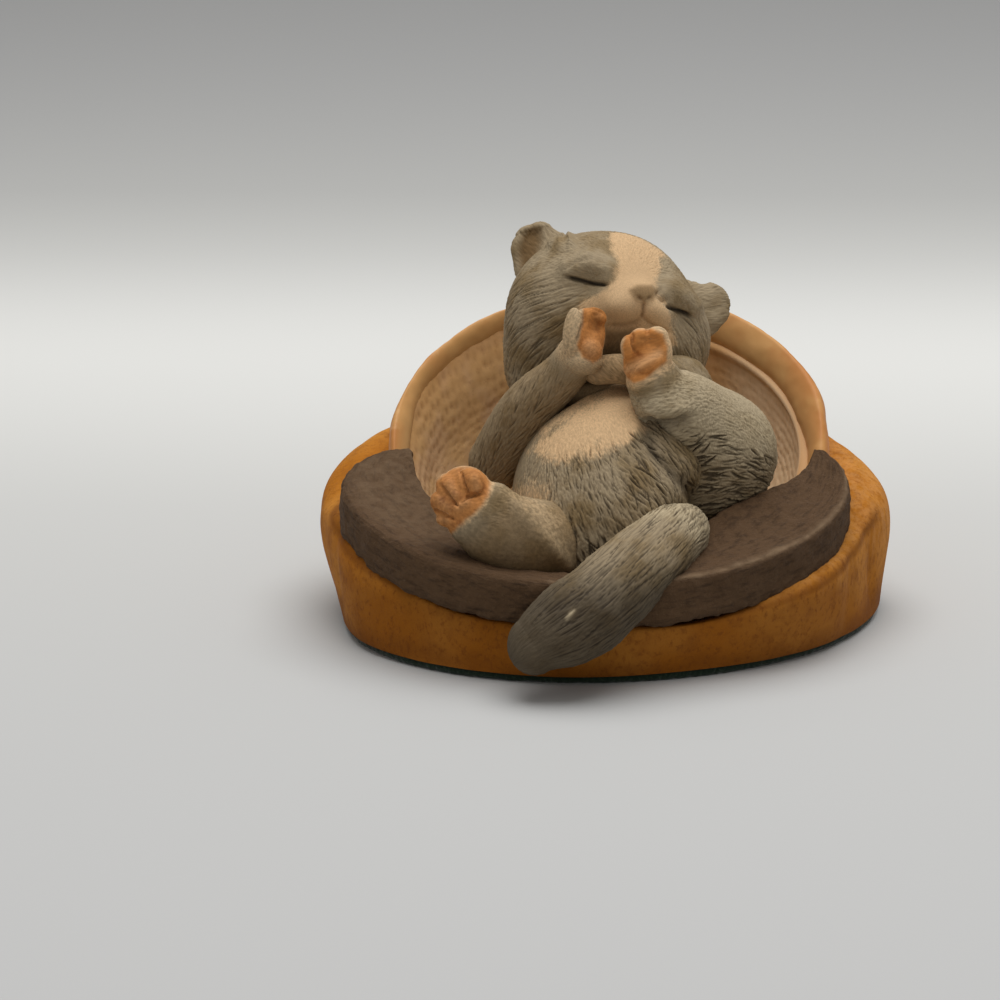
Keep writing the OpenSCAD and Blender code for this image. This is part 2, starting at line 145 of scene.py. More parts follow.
def grain(points: Array, size: float, seed: int) -> Array:
    """Smooth random values from -1 to 1 that vary over a given length.

    Args:
        points: places, one to a row.
        size: length over which the value changes.
        seed: which pattern.

    Returns:
        One value for each place.
    """
    apart, primes, seed_prime, stir = 31.7, (73856093, 19349663, 83492791), 2654435, 1274126177
    scaled = points / size + apart * seed
    cell = np.floor(scaled).astype(np.int64)
    part = scaled - cell
    part = part * part * (3.0 - 2.0 * part)
    total = np.zeros(len(points))
    for corner in range(8):
        step = np.array([corner & 1, corner >> 1 & 1, corner >> 2 & 1])
        code = np.bitwise_xor.reduce((cell + step) * primes, axis=1) ^ seed * seed_prime
        code = (code ^ code >> 13) * stir & 0xFFFFFFFF
        code = (code ^ code >> 16) & 0xFFFF
        weight = np.prod(np.where(step == 1, part, 1.0 - part), axis=1)
        total += weight * (code / 32767.5 - 1.0)
    return total


def path_distance(points: Array, path: Array) -> tuple[Array, Array]:
    """How far each point is from a run of straight lines, and how far along the run that is.

    Args:
        points: places, one to a row.
        path: the corners of the run.

    Returns:
        The distances, and the shares of the run's length.
    """
    best = np.full(len(points), np.inf)
    along = np.zeros(len(points))
    legs = np.linalg.norm(np.diff(path, axis=0), axis=1)
    done = 0.0
    for start, end, length in zip(path[:-1], path[1:], legs):
        way = end - start
        t = np.clip((points - start) @ way / max(length * length, TINY), 0.0, 1.0)
        gap = np.linalg.norm(points - start - t[:, None] * way, axis=1)
        nearer = gap < best
        best[nearer] = gap[nearer]
        along[nearer] = (done + t[nearer] * length) / legs.sum()
        done += length
    return best, along


def steady(direction: tuple) -> Field:
    """A flow that points the same way everywhere."""
    return lambda p: np.tile(np.array(direction, float), (len(p), 1))


def everywhere(p: Array) -> Array:
    """A growth of 1 at every place."""
    return np.ones(len(p))


def deselect() -> None:
    """Leaves nothing selected, so that an operator acts on the new piece alone."""
    bpy.ops.object.select_all(action="DESELECT")


def pick(obj: Object) -> None:
    """Selects one object and makes it the active one."""
    deselect()
    obj.select_set(True)
    bpy.context.view_layer.objects.active = obj


def apply_modifier(obj: Object, kind: str, **settings: object) -> None:
    """Adds a modifier with its settings and applies it.

    Args:
        obj: the piece.
        kind: Blender's name of the modifier's type.
        settings: its properties.
    """
    pick(obj)
    modifier = obj.modifiers.new(kind.title(), kind)
    for key, value in settings.items():
        setattr(modifier, key, value)
    bpy.ops.object.modifier_apply(modifier=modifier.name)


class Clay:
    """A mesh in the making: its points in millimetres and its painted masks."""

    END_DEPTH = 0.25
    END_SLOPE = 5.0

    def __init__(self, obj: Object) -> None:
        """Takes up an object's mesh."""
        self.obj = obj
        self.masks: dict[Mask, Array] = {}
        self.run: Optional[Array] = None
        self.points = self.read()

    @classmethod
    def ball(cls, name: str, around: int, along: int) -> "Clay":
        """Adds a ball with poles, to be drawn out along its axis."""
        deselect()
        bpy.ops.mesh.primitive_uv_sphere_add(segments=around, ring_count=along, radius=1.0)
        bpy.context.object.name = name
        return cls(bpy.context.object)

    @classmethod
    def even_ball(cls, name: str, level: int) -> "Clay":
        """Adds a ball of even triangles."""
        deselect()
        bpy.ops.mesh.primitive_ico_sphere_add(subdivisions=level, radius=1.0)
        bpy.context.object.name = name
        return cls(bpy.context.object)

    def net(self) -> tuple[Array, Array]:
        """Turn about the ball's axis, and share of the way from its lower to its upper pole."""
        x, y, z = self.points.T
        return np.arctan2(y, x), 1.0 - np.arccos(np.clip(z, -1.0, 1.0)) / math.pi

    def read(self) -> Array:
        """Points of the mesh, one to a row."""
        flat = np.zeros(3 * len(self.obj.data.vertices))
        self.obj.data.vertices.foreach_get("co", flat)
        return flat.reshape(-1, 3)

    def write(self) -> None:
        """Puts the points into the mesh."""
        self.obj.data.vertices.foreach_set("co", self.points.ravel())
        self.obj.data.update()

    def normals(self) -> Array:
        """Directions out of the surface at the points."""
        self.write()
        flat = np.zeros(3 * len(self.obj.data.vertices))
        self.obj.data.vertices.foreach_get("normal", flat)
        return flat.reshape(-1, 3)

    def areas(self) -> Array:
        """Share of the surface that belongs to each point, in square millimetres."""
        self.write()
        mesh = self.obj.data
        size = np.zeros(len(mesh.polygons))
        count = np.zeros(len(mesh.polygons), int)
        corner = np.zeros(len(mesh.loops), int)
        mesh.polygons.foreach_get("area", size)
        mesh.polygons.foreach_get("loop_total", count)
        mesh.loops.foreach_get("vertex_index", corner)
        return np.bincount(corner, np.repeat(size / count, count), len(self.points))

    def refine(self, wanted: Field, cuts: int = 1) -> None:
        """Divides the faces whose middles are wanted, in edit mode.

        Args:
            wanted: says for places whether a face there is divided.
            cuts: how many cuts an edge of such a face gets.
        """
        self.write()
        mesh = self.obj.data
        flat = np.zeros(3 * len(mesh.polygons))
        mesh.polygons.foreach_get("center", flat)
        chosen = wanted(flat.reshape(-1, 3))
        pick(self.obj)
        bpy.ops.object.mode_set(mode="EDIT")
        bpy.ops.mesh.select_mode(type="FACE")
        bpy.ops.mesh.select_all(action="DESELECT")
        bpy.ops.object.mode_set(mode="OBJECT")
        mesh.polygons.foreach_set("select", chosen)
        bpy.ops.object.mode_set(mode="EDIT")
        bpy.ops.mesh.subdivide(number_cuts=cuts)
        bpy.ops.object.mode_set(mode="OBJECT")
        self.points = self.read()

    def flip(self) -> None:
        """Turns the faces round, as a mirrored piece needs."""
        self.write()
        pick(self.obj)
        bpy.ops.object.mode_set(mode="EDIT")
        bpy.ops.mesh.select_all(action="SELECT")
        bpy.ops.mesh.flip_normals()
        bpy.ops.object.mode_set(mode="OBJECT")

    def grain(self, size: float, seed: int) -> Array:
        """Smooth random values at the points."""
        return grain(self.points, size, seed)

    def push(self, amount: Array) -> None:
        """Moves the points out of the surface by an amount each."""
        self.points = self.points + self.normals() * np.asarray(amount)[:, None]

    def lay(self, mask: Mask, amount: Array) -> None:
        """Paints a mask, where the amount is more than what is there."""
        present = self.masks.get(mask, np.zeros(len(self.points)))
        self.masks[mask] = np.maximum(present, np.clip(amount, 0.0, 1.0))

    def wipe(self, mask: Mask, amount: Array) -> None:
        """Takes a share of a mask away."""
        present = self.masks.get(mask, np.zeros(len(self.points)))
        self.masks[mask] = present * (1.0 - np.clip(amount, 0.0, 1.0))

    def comb(self, flow: Field, stretch: object = 0.16) -> None:
        """Lays coordinates along the hair's lie, so that fine hairs can be drawn out along it.

        Args:
            flow: the way the hair lies at given places.
            stretch: how short a length along the hair counts, for all points or for each.
        """
        way = unit(flow(self.points))
        along = np.sum(self.points * way, axis=1, keepdims=True)
        self.run = self.points - (1.0 - np.reshape(stretch, (-1, 1))) * along * way

    def groove(self, path: Array, width: float, depth: float, wash: float = 0.0) -> None:
        """Cuts a groove along a path, fading towards its ends.

        Args:
            path: corners of the path.
            width: half width of the groove.
            depth: how deep it is.
            wash: how much dark paint and painted shade is laid in it.
        """
        gap, along = path_distance(self.points, np.asarray(path, float))
        self.etch(gap, along, width, depth, wash)

    def etch(self, gap: Array, along: Array, width: float, depth: float, wash: float) -> None:
        """Cuts a groove where the gap to its line is small.

        Args:
            gap: distances from the line.
            along: shares of the line's length.
            width: half width of the groove.
            depth: how deep it is.
            wash: how much dark paint and painted shade is laid in it.
        """
        fade = np.clip(np.minimum(along, 1.0 - along) * self.END_SLOPE + self.END_DEPTH, 0.0, 1.0)
        self.push(-depth * bell(gap, width) * fade)
        if wash:
            self.lay(Mask.WASH, wash * bell(gap, width * 0.8) * fade)

    def finish(self, node: str, slot: Slot, material: Material) -> Object:
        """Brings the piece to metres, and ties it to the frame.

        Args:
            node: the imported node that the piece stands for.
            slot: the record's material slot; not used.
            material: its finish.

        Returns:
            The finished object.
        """
        self.points = self.points * MM
        self.write()
        mesh = self.obj.data
        for mask, values in self.masks.items():
            layer = mesh.attributes.new(mask.value, "FLOAT", "POINT")
            layer.data.foreach_set("value", values.astype(np.float32))
        if self.run is not None:
            layer = mesh.attributes.new(RUN, "FLOAT_VECTOR", "POINT")
            layer.data.foreach_set("vector", (self.run * MM).astype(np.float32).ravel())
        mesh.materials.clear()
        mesh.materials.append(material)
        pick(self.obj)
        bpy.ops.object.shade_smooth()
        self.obj.name = f"{node}_dressed"
        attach(self.obj, "root")
        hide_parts(node)
        LOG.info("%s: %d points", self.obj.name, len(mesh.vertices))
        return self.obj


@dataclass(frozen=True)
class Sight:
    """The photographer's eye, for marks that are placed on the front of a piece as it sees them.

    It stands at a place in millimetres, is turned by three angles and sees over one angle, on a square
    grid. The step is the length of a grid step at the kitten.
    """

    at: tuple = (0.0, -497.28, 152.03)
    turn: tuple = (74.5663, 0.0, 1.4816)
    angle: float = 13.967
    grid: float = 1000.0
    step: float = 0.123
    behind: float = 50.0

    def seen(self, points: Array) -> Array:
        """Where places show on the grid, across and down."""
        q = (points - np.array(self.at)) @ turning(self.turn)
        size = self.grid / 2 / math.tan(math.radians(self.angle / 2))
        return self.grid / 2 + size * np.column_stack([q[:, 0], -q[:, 1]]) / -q[:, 2:]

    def front(self, clay: Clay) -> Array:
        """How far each point of the clay faces the eye, from 0 to 1."""
        way = unit(np.array(self.at) - clay.points)
        return ease(0.0, 0.2, np.sum(way * clay.normals(), axis=1))

    def inside(self, points: Array, outline: tuple) -> Array:
        """Millimetres that places show inside an outline.

        Args:
            points: places, one to a row.
            outline: corners of the outline on the grid.

        Returns:
            The distances to the outline, less than 0 outside it.
        """
        flat = self.seen(points)
        ring = np.array([*outline, outline[0]], float)
        gap, _ = path_distance(flat, ring)
        odd = np.zeros(len(flat), bool)
        for (x0, y0), (x1, y1) in zip(ring[:-1], ring[1:]):
            crosses = (flat[:, 1] < y0) != (flat[:, 1] < y1)
            slope = (x1 - x0) / (y1 - y0) if y1 != y0 else 0.0
            odd ^= crosses & (flat[:, 0] < x0 + (flat[:, 1] - y0) * slope)
        return np.where(odd, gap, -gap) * self.step

    def area(self, clay: Clay, outline: tuple, soft: float, fringe: object = 0.0) -> Array:
        """How much each point lies in an outline on the front of the clay.

        Args:
            clay: the piece.
            outline: corners of the outline on the grid.
            soft: half width of its soft edge.
            fringe: how far the edge is moved at each point.

        Returns:
            Shares from 0 to 1.
        """
        return ease(-soft, soft, self.inside(clay.points, outline) + fringe) * self.front(clay)

    def spot(self, clay: Clay, line: tuple, spread: float) -> Array:
        """A soft bump along a line on the front of the clay."""
        gap, _ = path_distance(self.seen(clay.points), np.array(line))
        return bell(gap * self.step, spread) * self.front(clay)

    def swell(self, clay: Clay, line: tuple, spread: float, height: float) -> None:
        """Raises the clay along a line, or sinks it."""
        clay.push(height * self.spot(clay, line, spread))

    def cut(self, clay: Clay, line: tuple, width: float, depth: float, wash: float = 0.0) -> None:
        """Cuts a groove along a line into the front of the clay.

        Args:
            clay: the piece.
            line: corners of the line on the grid.
            width: half width of the groove.
            depth: how deep it is.
            wash: how much dark paint and painted shade is laid in it.
        """
        gap, along = path_distance(self.seen(clay.points), np.array(line))
        clay.etch(gap * self.step + self.behind * (1.0 - self.front(clay)), along, width, depth, wash)


@dataclass(frozen=True)
class Strokes:
    """A kind of carved hair stroke.

    Fields: strokes to a square millimetre, least and greatest length, half width and depth in
    millimetres, spread of the direction in radians, bend, and seed.
    """

    density: float
    length: tuple[float, float]
    width: float
    depth: float
    spread: float = 0.25
    bend: float = 0.06
    seed: int = 1


class Fur:
    """Carves hair strokes into clay and notes where the grooves and the ridges are.

    A stroke's width and depth vary between two shares of what its kind says. It gets shallower where
    hair is sparse and narrower towards its point, and has a lip, which stands off by so many widths.
    """

    WIDTHS = (0.7, 1.35)
    DEPTHS = (0.55, 1.2)
    SPARSE = 0.35
    POINT = 0.55
    LIP = 0.35
    LIP_OFF = 2.1
    SAME_SIDE = 0.2

    def __init__(self, clay: Clay, flow: Field, cell: float = 1.6) -> None:
        """Sorts the clay's points into cells, so that a stroke finds its own quickly.

        Args:
            clay: what is carved.
            flow: the way the hair lies at given places.
            cell: edge of a cell, no less than half the longest stroke.
        """
        self.clay = clay
        self.flow = flow
        self.cell = cell
        self.normals = clay.normals()
        self.areas = clay.areas()
        keys = np.floor(clay.points / cell).astype(int)
        order = np.lexsort(keys.T)
        ends = np.flatnonzero(np.any(np.diff(keys[order], axis=0), axis=1)) + 1
        self.cells = {tuple(keys[g[0]]): g for g in np.split(order, ends)}
        self.dig = np.zeros(len(clay.points))
        self.lift = np.zeros(len(clay.points))

    def near(self, place: Array) -> Array:
        """Numbers of the points in the cells round a place."""
        i, j, k = np.floor(place / self.cell).astype(int)
        steps = (-1, 0, 1)
        found = [self.cells.get((i + a, j + b, k + c)) for a in steps for b in steps for c in steps]
        return np.concatenate([f for f in found if f is not None])

    def carve(self, strokes: Strokes, where: Field = everywhere) -> None:
        """Carves one kind of stroke.

        Args:
            strokes: their sizes and number.
            where: how much of it grows at given places, from 0 to 1.
        """
        rng = np.random.default_rng(strokes.seed)
        points = self.clay.points
        share = np.clip(where(points), 0.0, 1.0)
        weight = share * self.areas
        total = weight.sum()
        count = int(total * strokes.density)
        if count < 1:
            return
        roots = rng.choice(len(points), count, p=weight / total)
        out = self.normals[roots]
        way = self.flow(points[roots])
        way = unit(way - out * np.sum(way * out, axis=1, keepdims=True))
        side = np.cross(out, way)
        angle = rng.normal(0.0, strokes.spread, count)[:, None]
        along = way * np.cos(angle) + side * np.sin(angle)
        across = np.cross(out, along)
        halves = rng.uniform(*strokes.length, count) / 2.0
        bends = rng.normal(0.0, strokes.bend, count)
        widths = strokes.width * rng.uniform(*self.WIDTHS, count)
        depths = strokes.depth * rng.uniform(*self.DEPTHS, count) * mix(self.SPARSE, 1.0, share[roots])
        for n in range(count):
            nearby = self.near(points[roots[n]])
            d = points[nearby] - points[roots[n]]
            s = d @ along[n] / halves[n]
            inside = (np.abs(s) < 1.0) & (self.normals[nearby] @ out[n] > self.SAME_SIDE)
            nearby, d, s = nearby[inside], d[inside], s[inside]
            q = np.abs(d @ across[n] - bends[n] * (s * halves[n]) ** 2)
            wide = widths[n] * mix(self.POINT, 1.0, (1.0 - s) / 2.0)
            taper = depths[n] * (1.0 - s * s)
            self.dig[nearby] = np.maximum(self.dig[nearby], taper * bell(q, wide))
            lip = self.LIP * taper * bell(q - self.LIP_OFF * wide, wide)
            self.lift[nearby] = np.maximum(self.lift[nearby], lip)

    def settle(self, full: float = 0.22) -> None:
        """Moves the clay by what was carved, and keeps the grooves and ridges as a mask.

        Args:
            full: the depth that counts as a full groove.
        """
        height = self.lift * (1.0 - np.clip(self.dig / full, 0.0, 1.0)) - self.dig
        self.clay.points = self.clay.points + self.normals * height[:, None]
        self.clay.masks[Mask.CARVE] = np.clip(height / full, -1.0, 1.0)


class Graph:
    """A material's nodes, wired by short calls."""

    def __init__(self, name: str, roughness: float, specular: float = 0.3) -> None:
        """Makes a material with one surface shader.

        Args:
            name: the material's name.
            roughness: roughness of the whole surface, unless a node gives it.
            specular: strength of its mirror light.
        """
        self.material = bpy.data.materials.new(name)
        self.material.use_nodes = True
        self.tree = self.material.node_tree
        self.shader = self.tree.nodes["Principled BSDF"]
        self.shader.inputs["Roughness"].default_value = roughness
        self.shader.inputs["Specular IOR Level"].default_value = specular
        self.place = self.tree.nodes.new("ShaderNodeTexCoord").outputs["Object"]

    def put(self, socket: Socket, value: object) -> None:
        """Links a socket to another, or sets its value."""
        if isinstance(value, Socket):
            self.tree.links.new(value, socket)
        elif isinstance(value, tuple) and len(value) == 3 and socket.type == "RGBA":
            socket.default_value = (*value, 1.0)
        else:
            socket.default_value = value

    def stretched(self, scale: tuple, vector: object = None) -> Socket:
        """Coordinates scaled by an amount along each axis."""
        node = self.tree.nodes.new("ShaderNodeMapping")
        self.put(node.inputs["Vector"], vector or self.place)
        node.inputs["Scale"].default_value = scale
        return node.outputs["Vector"]

    def noise(self, per_mm: float, detail: float = 3.0, vector: object = None, rough: float = 0.55) -> object:
        """Cloudy values round one half.

        Args:
            per_mm: changes to a millimetre.
            detail: how many finer layers there are.
            vector: coordinates in metres, or the object's own.
            rough: strength of the finer layers.

        Returns:
            The value's socket.
        """
        node = self.tree.nodes.new("ShaderNodeTexNoise")
        self.put(node.inputs["Vector"], vector or self.place)
        node.inputs["Scale"].default_value = per_mm / MM
        node.inputs["Detail"].default_value = detail
        node.inputs["Roughness"].default_value = rough
        return node.outputs["Fac"]

    def attribute(self, name: str, output: str) -> Socket:
        """An attribute of the mesh."""
        node = self.tree.nodes.new("ShaderNodeAttribute")
        node.attribute_name = name
        return node.outputs[output]

    def mask(self, mask: Mask) -> Socket:
        """A painted mask of the mesh."""
        return self.attribute(mask.value, "Fac")

    def span(self, value: object, low: float, high: float, start: float = 0.0, end: float = 1.0) -> object:
        """Maps a value from one range to another, smoothly and held at its ends."""
        node = self.tree.nodes.new("ShaderNodeMapRange")
        node.interpolation_type = "SMOOTHSTEP"
        self.put(node.inputs["Value"], value)
        for key, number in (("From Min", low), ("From Max", high), ("To Min", start), ("To Max", end)):
            node.inputs[key].default_value = number
        return node.outputs["Result"]

    def math(self, operation: str, a: object, b: object) -> Socket:
        """One operation on two values."""
        node = self.tree.nodes.new("ShaderNodeMath")
        node.operation = operation
        self.put(node.inputs[0], a)
        self.put(node.inputs[1], b)
        return node.outputs["Value"]

    def blend(self, a: object, b: object, share: object, mode: str = "MIX") -> Socket:
        """One colour laid over another."""
        node = self.tree.nodes.new("ShaderNodeMix")
        node.data_type = "RGBA"
        node.blend_type = mode
        self.put(node.inputs[0], share)
        self.put(node.inputs[6], a)
        self.put(node.inputs[7], b)
        return node.outputs[2]

    def times(self, a: object, b: object) -> Socket:
        """The product of two values."""
        return self.math("MULTIPLY", a, b)

    def plus(self, a: object, b: object) -> Socket:
        """The sum of two values."""
        return self.math("ADD", a, b)

    def layers(self, base: object, *coats: tuple) -> object:
        """Colours laid over a base one by one, each with its share."""
        for colour, share in coats:
            base = self.blend(base, colour, share)
        return base

    def shaded(self, colour: object, tone: object) -> Socket:
        """A colour made lighter or darker by a tone round one."""
        node = self.tree.nodes.new("ShaderNodeCombineColor")
        for channel in range(3):
            self.put(node.inputs[channel], tone)
        return self.blend(colour, node.outputs["Color"], 1.0, "MULTIPLY")

    def bump(self, height: object, depth_mm: float, strength: float) -> None:
        """Gives the surface a fine relief."""
        node = self.tree.nodes.new("ShaderNodeBump")
        node.inputs["Distance"].default_value = depth_mm * MM
        node.inputs["Strength"].default_value = strength
        self.put(node.inputs["Height"], height)
        self.put(self.shader.inputs["Normal"], node.outputs["Normal"])

    def colour(self, base: object, *coats: tuple) -> Material:
        """Sets the base colour with the coats over it, and gives the material."""
        self.put(self.shader.inputs["Base Color"], self.layers(base, *coats))
        return self.material


@dataclass(frozen=True)
class CoatPaint:
    """Matte paint of the kitten: grey and cream, dark paint in the grooves and a pale dry brush, with painted
    shade in hollows and under forms and painted highlights on lit faces.
    """

    grey: tuple = (0.320, 0.245, 0.150)
    grey_warm: tuple = (0.225, 0.155, 0.074)
    cream: tuple = (0.640, 0.425, 0.230)
    sole: tuple = (0.530, 0.210, 0.052)
    sole_deep: tuple = (0.290, 0.085, 0.012)
    # Brown of the nose, also used as painted shade below the muzzle and under the arm.
    nose: tuple = (0.240, 0.145, 0.060)
    dark: tuple = (0.050, 0.034, 0.018)
    # Pale dry brush, also used as painted highlight on lit faces.
    pale: tuple = (0.470, 0.385, 0.252)
    # Near black: dark paint in grooves and painted shade.
    black: tuple = (0.016, 0.010, 0.006)

    def material(self) -> Material:
        """Builds the paint from the mesh's masks and from fine hairs along its lie."""
        g = Graph("kitten_coat", 0.74, 0.22)
        fine = g.noise(2.6, 4.0, rough=0.65)
        hair = g.noise(3.2, 3.0, g.attribute(RUN, "Vector"), 0.6)
        skin = g.blend(self.sole, self.sole_deep, g.span(g.noise(0.6, 3.0), 0.48, 0.80))
        carve = g.mask(Mask.CARVE)
        coat = g.layers(
            self.grey,
            (self.grey_warm, g.span(g.noise(0.20, 3.0), 0.42, 0.68)),
            (self.cream, g.span(g.plus(g.mask(Mask.CREAM), hair), 0.62, 1.38)),
            (self.pale, g.times(g.mask(Mask.DUST), g.span(hair, 0.30, 0.60, 0.35, 0.9))),
            (self.nose, g.mask(Mask.NOSE)),
            (skin, g.mask(Mask.SOLE)))
        coat = g.shaded(coat, g.span(fine, 0.25, 0.75, 0.95, 1.05))
        coat = g.shaded(coat, g.span(hair, 0.28, 0.72, 0.84, 1.13))
        g.bump(g.plus(hair, g.times(fine, 0.3)), 0.11, 0.55)
        return g.colour(
            coat,
            (self.pale, g.times(g.span(carve, 0.05, 0.55), 0.35)),
            (self.dark, g.times(g.span(carve, -0.20, -1.0), 0.78)),
            (self.black, g.mask(Mask.WASH)))


@dataclass(frozen=True)
class CrownPaint:
    """Ochre paint of the cap's crown, with short brown brush strokes that run down it, painted shade low
    down, at the front and under the visor, and paler paint on the right that is partly a painted highlight.
    """

    base: tuple = (0.425, 0.145, 0.009)
    light: tuple = (0.530, 0.215, 0.030)
    brown: tuple = (0.190, 0.056, 0.008)
    # Dark red-brown of the painted shade low on the crown, at its front and under the visor.
    foot: tuple = (0.160, 0.046, 0.005)
    # Paler paint of the right side, partly a painted highlight where light falls.
    worn: tuple = (0.640, 0.330, 0.125)

    def material(self) -> Material:
        """Builds the paint from clouds, short upright strokes and the masks of painted shade and of paler
        paint.
        """
        g = Graph("crown_paint", 0.70, 0.08)
        dash = g.noise(1.5, 4.0, g.stretched((1.0, 1.0, 0.75)), 0.70)
        smear = g.noise(0.35, 4.0, g.stretched((1.0, 1.0, 0.85)), 0.66)
        streak = g.noise(0.9, 4.0, g.stretched((1.0, 1.0, 0.25)), 0.65)
        # Mask of painted shade: low on the crown, at its front and under the visor; the brown strokes are
        # stronger there.
        low = g.mask(Mask.WASH)
        g.bump(g.plus(dash, g.noise(3.4, 4.0, rough=0.7)), 0.16, 0.60)
        return g.colour(
            self.base,
            (self.light, g.span(g.noise(0.06, 3.0), 0.40, 0.64)),
            (self.brown, g.times(g.span(smear, 0.44, 0.80), 0.60)),
            (self.worn, g.times(g.mask(Mask.CREAM), g.span(streak, 0.35, 0.62))),
            (self.brown, g.times(g.span(dash, 0.49, 0.68), g.span(low, 0.0, 0.6, 0.38, 0.68))),
            (self.foot, g.times(low, 0.85)))


@dataclass(frozen=True)
class LiningPaint:
    """Tan paint of the woven lining: brown in its dimples, smooth on the band below the rim, with painted
    shade beside the head and above the hem, and paler paint on the right that stands for light falling there.
    """

    tan: tuple = (0.640, 0.390, 0.170)
    pink: tuple = (0.640, 0.405, 0.215)
    brown: tuple = (0.260, 0.110, 0.034)
    band: tuple = (0.560, 0.275, 0.085)
    pale: tuple = (0.850, 0.610, 0.380)

    def material(self) -> Material:
        """Builds the paint from the weave's masks."""
        g = Graph("lining_paint", 0.70, 0.25)
        fine = g.noise(1.4, 4.0, rough=0.65)
        g.bump(fine, 0.08, 0.40)
        return g.colour(
            self.tan,
            (self.pink, g.span(g.noise(0.16, 3.0), 0.40, 0.62)),
            (self.brown, g.times(g.span(fine, 0.50, 0.82), 0.40)),
            # Band colour below the rim, also painted shade beside the head.
            (self.band, g.mask(Mask.BAND)),
            (self.brown, g.times(g.mask(Mask.WEAVE), 0.50)),
            # Pale rim line and hem, and painted light on the right side.
            (self.pale, g.times(g.mask(Mask.CREAM), 0.8)),
            # Brown painted shade in the crease above the hem.
            (self.brown, g.mask(Mask.WASH)))


@dataclass(frozen=True)
class BindingPaint:
    """Smooth golden tan paint of the rolled rim, rubbed pale in places and at its ends, pale on its inner
    side as partly a painted highlight, and with painted shade where it meets the lining.
    """

    tan: tuple = (0.580, 0.290, 0.090)
    orange: tuple = (0.500, 0.200, 0.048)
    pale: tuple = (0.690, 0.430, 0.185)
    brown: tuple = (0.230, 0.085, 0.018)

    def material(self) -> Material:
        """Builds the paint from soft clouds and the masks of the outer band, the pale inner side and painted
        shade.
        """
        g = Graph("binding_paint", 0.55, 0.3)
        cloud = g.span(g.noise(0.14, 3.0), 0.46, 0.66)
        rub = g.times(g.span(g.noise(0.30, 4.0), 0.52, 0.72), 0.5)
        g.bump(g.noise(0.9, 3.0), 0.06, 0.25)
        return g.colour(
            self.tan,
            (self.orange, g.math("MAXIMUM", cloud, g.mask(Mask.BAND))),
            # Pale rubbed patches, and the pale inner side, partly a painted highlight.
            (self.pale, g.math("MAXIMUM", rub, g.mask(Mask.CREAM))),
            # Brown painted shade where the rim meets the lining.
            (self.brown, g.mask(Mask.WASH)))


@dataclass(frozen=True)
class VisorPaint:
    """Rough dark brown paint of the visor, streaked along it and rubbed pale on its edge, with painted shade
    on its front face and underside and a painted highlight on the top at its left.
    """

    brown: tuple = (0.110, 0.060, 0.028)
    dark: tuple = (0.032, 0.016, 0.007)
    pale: tuple = (0.250, 0.165, 0.095)

    def material(self) -> Material:
        """Builds the paint from streaks along the visor, from the mask of painted shade and from the mask of
        the rubbed edge and the painted highlight.
        """
        g = Graph("visor_paint", 0.80, 0.2)
        run = g.attribute(RUN, "Vector")
        streak = g.noise(1.2, 5.0, g.stretched((0.35, 1.0, 1.0), run), 0.7)
        speck = g.noise(2.8, 5.0, rough=0.75)
        g.bump(g.plus(streak, speck), 0.28, 0.95)
        return g.colour(
            self.brown,
            (self.dark, g.times(g.span(streak, 0.44, 0.72), 0.70)),
            (self.pale, g.times(g.span(speck, 0.54, 0.76), 0.34)),
            # Painted shade on the front face and underside.
            (self.dark, g.mask(Mask.WASH)),
            # Rubbed and frayed edges, and the painted highlight on the top at the left.
            (self.pale, g.times(g.mask(Mask.CREAM), 0.75)))


@dataclass(frozen=True)
class FeltCloth:
    """Dark green felt of the pad under the foot."""

    green: tuple = (0.010, 0.022, 0.012)
    fibre: tuple = (0.040, 0.062, 0.036)

    def material(self) -> Material:
        """Builds the felt from fine fibres."""
        g = Graph("felt_cloth", 0.95, 0.1)
        fibre = g.noise(3.0, 5.0, rough=0.75)
        g.shader.inputs["Sheen Weight"].default_value = 0.3
        g.bump(fibre, 0.15, 0.8)
        return g.colour(self.green, (self.fibre, g.span(fibre, 0.48, 0.72)))


def reach(way: Array, centre: tuple, radii: tuple) -> Array:
    """Distance from the origin, along each direction, to the far side of an ellipsoid.

    Args:
        way: directions of length one.
        centre: the ellipsoid's middle.
        radii: its three half sizes.

    Returns:
        The distances, and 0 where it is missed.
    """
    q = way / np.array(radii)
    o = np.array(centre) / np.array(radii)
    a = np.sum(q * q, axis=1)
    b = q @ o
    k = b * b - a * (o @ o - 1.0)
    return np.where(k <= 0.0, 0.0, np.maximum(0.0, (b + np.sqrt(np.maximum(k, 0.0))) / a))


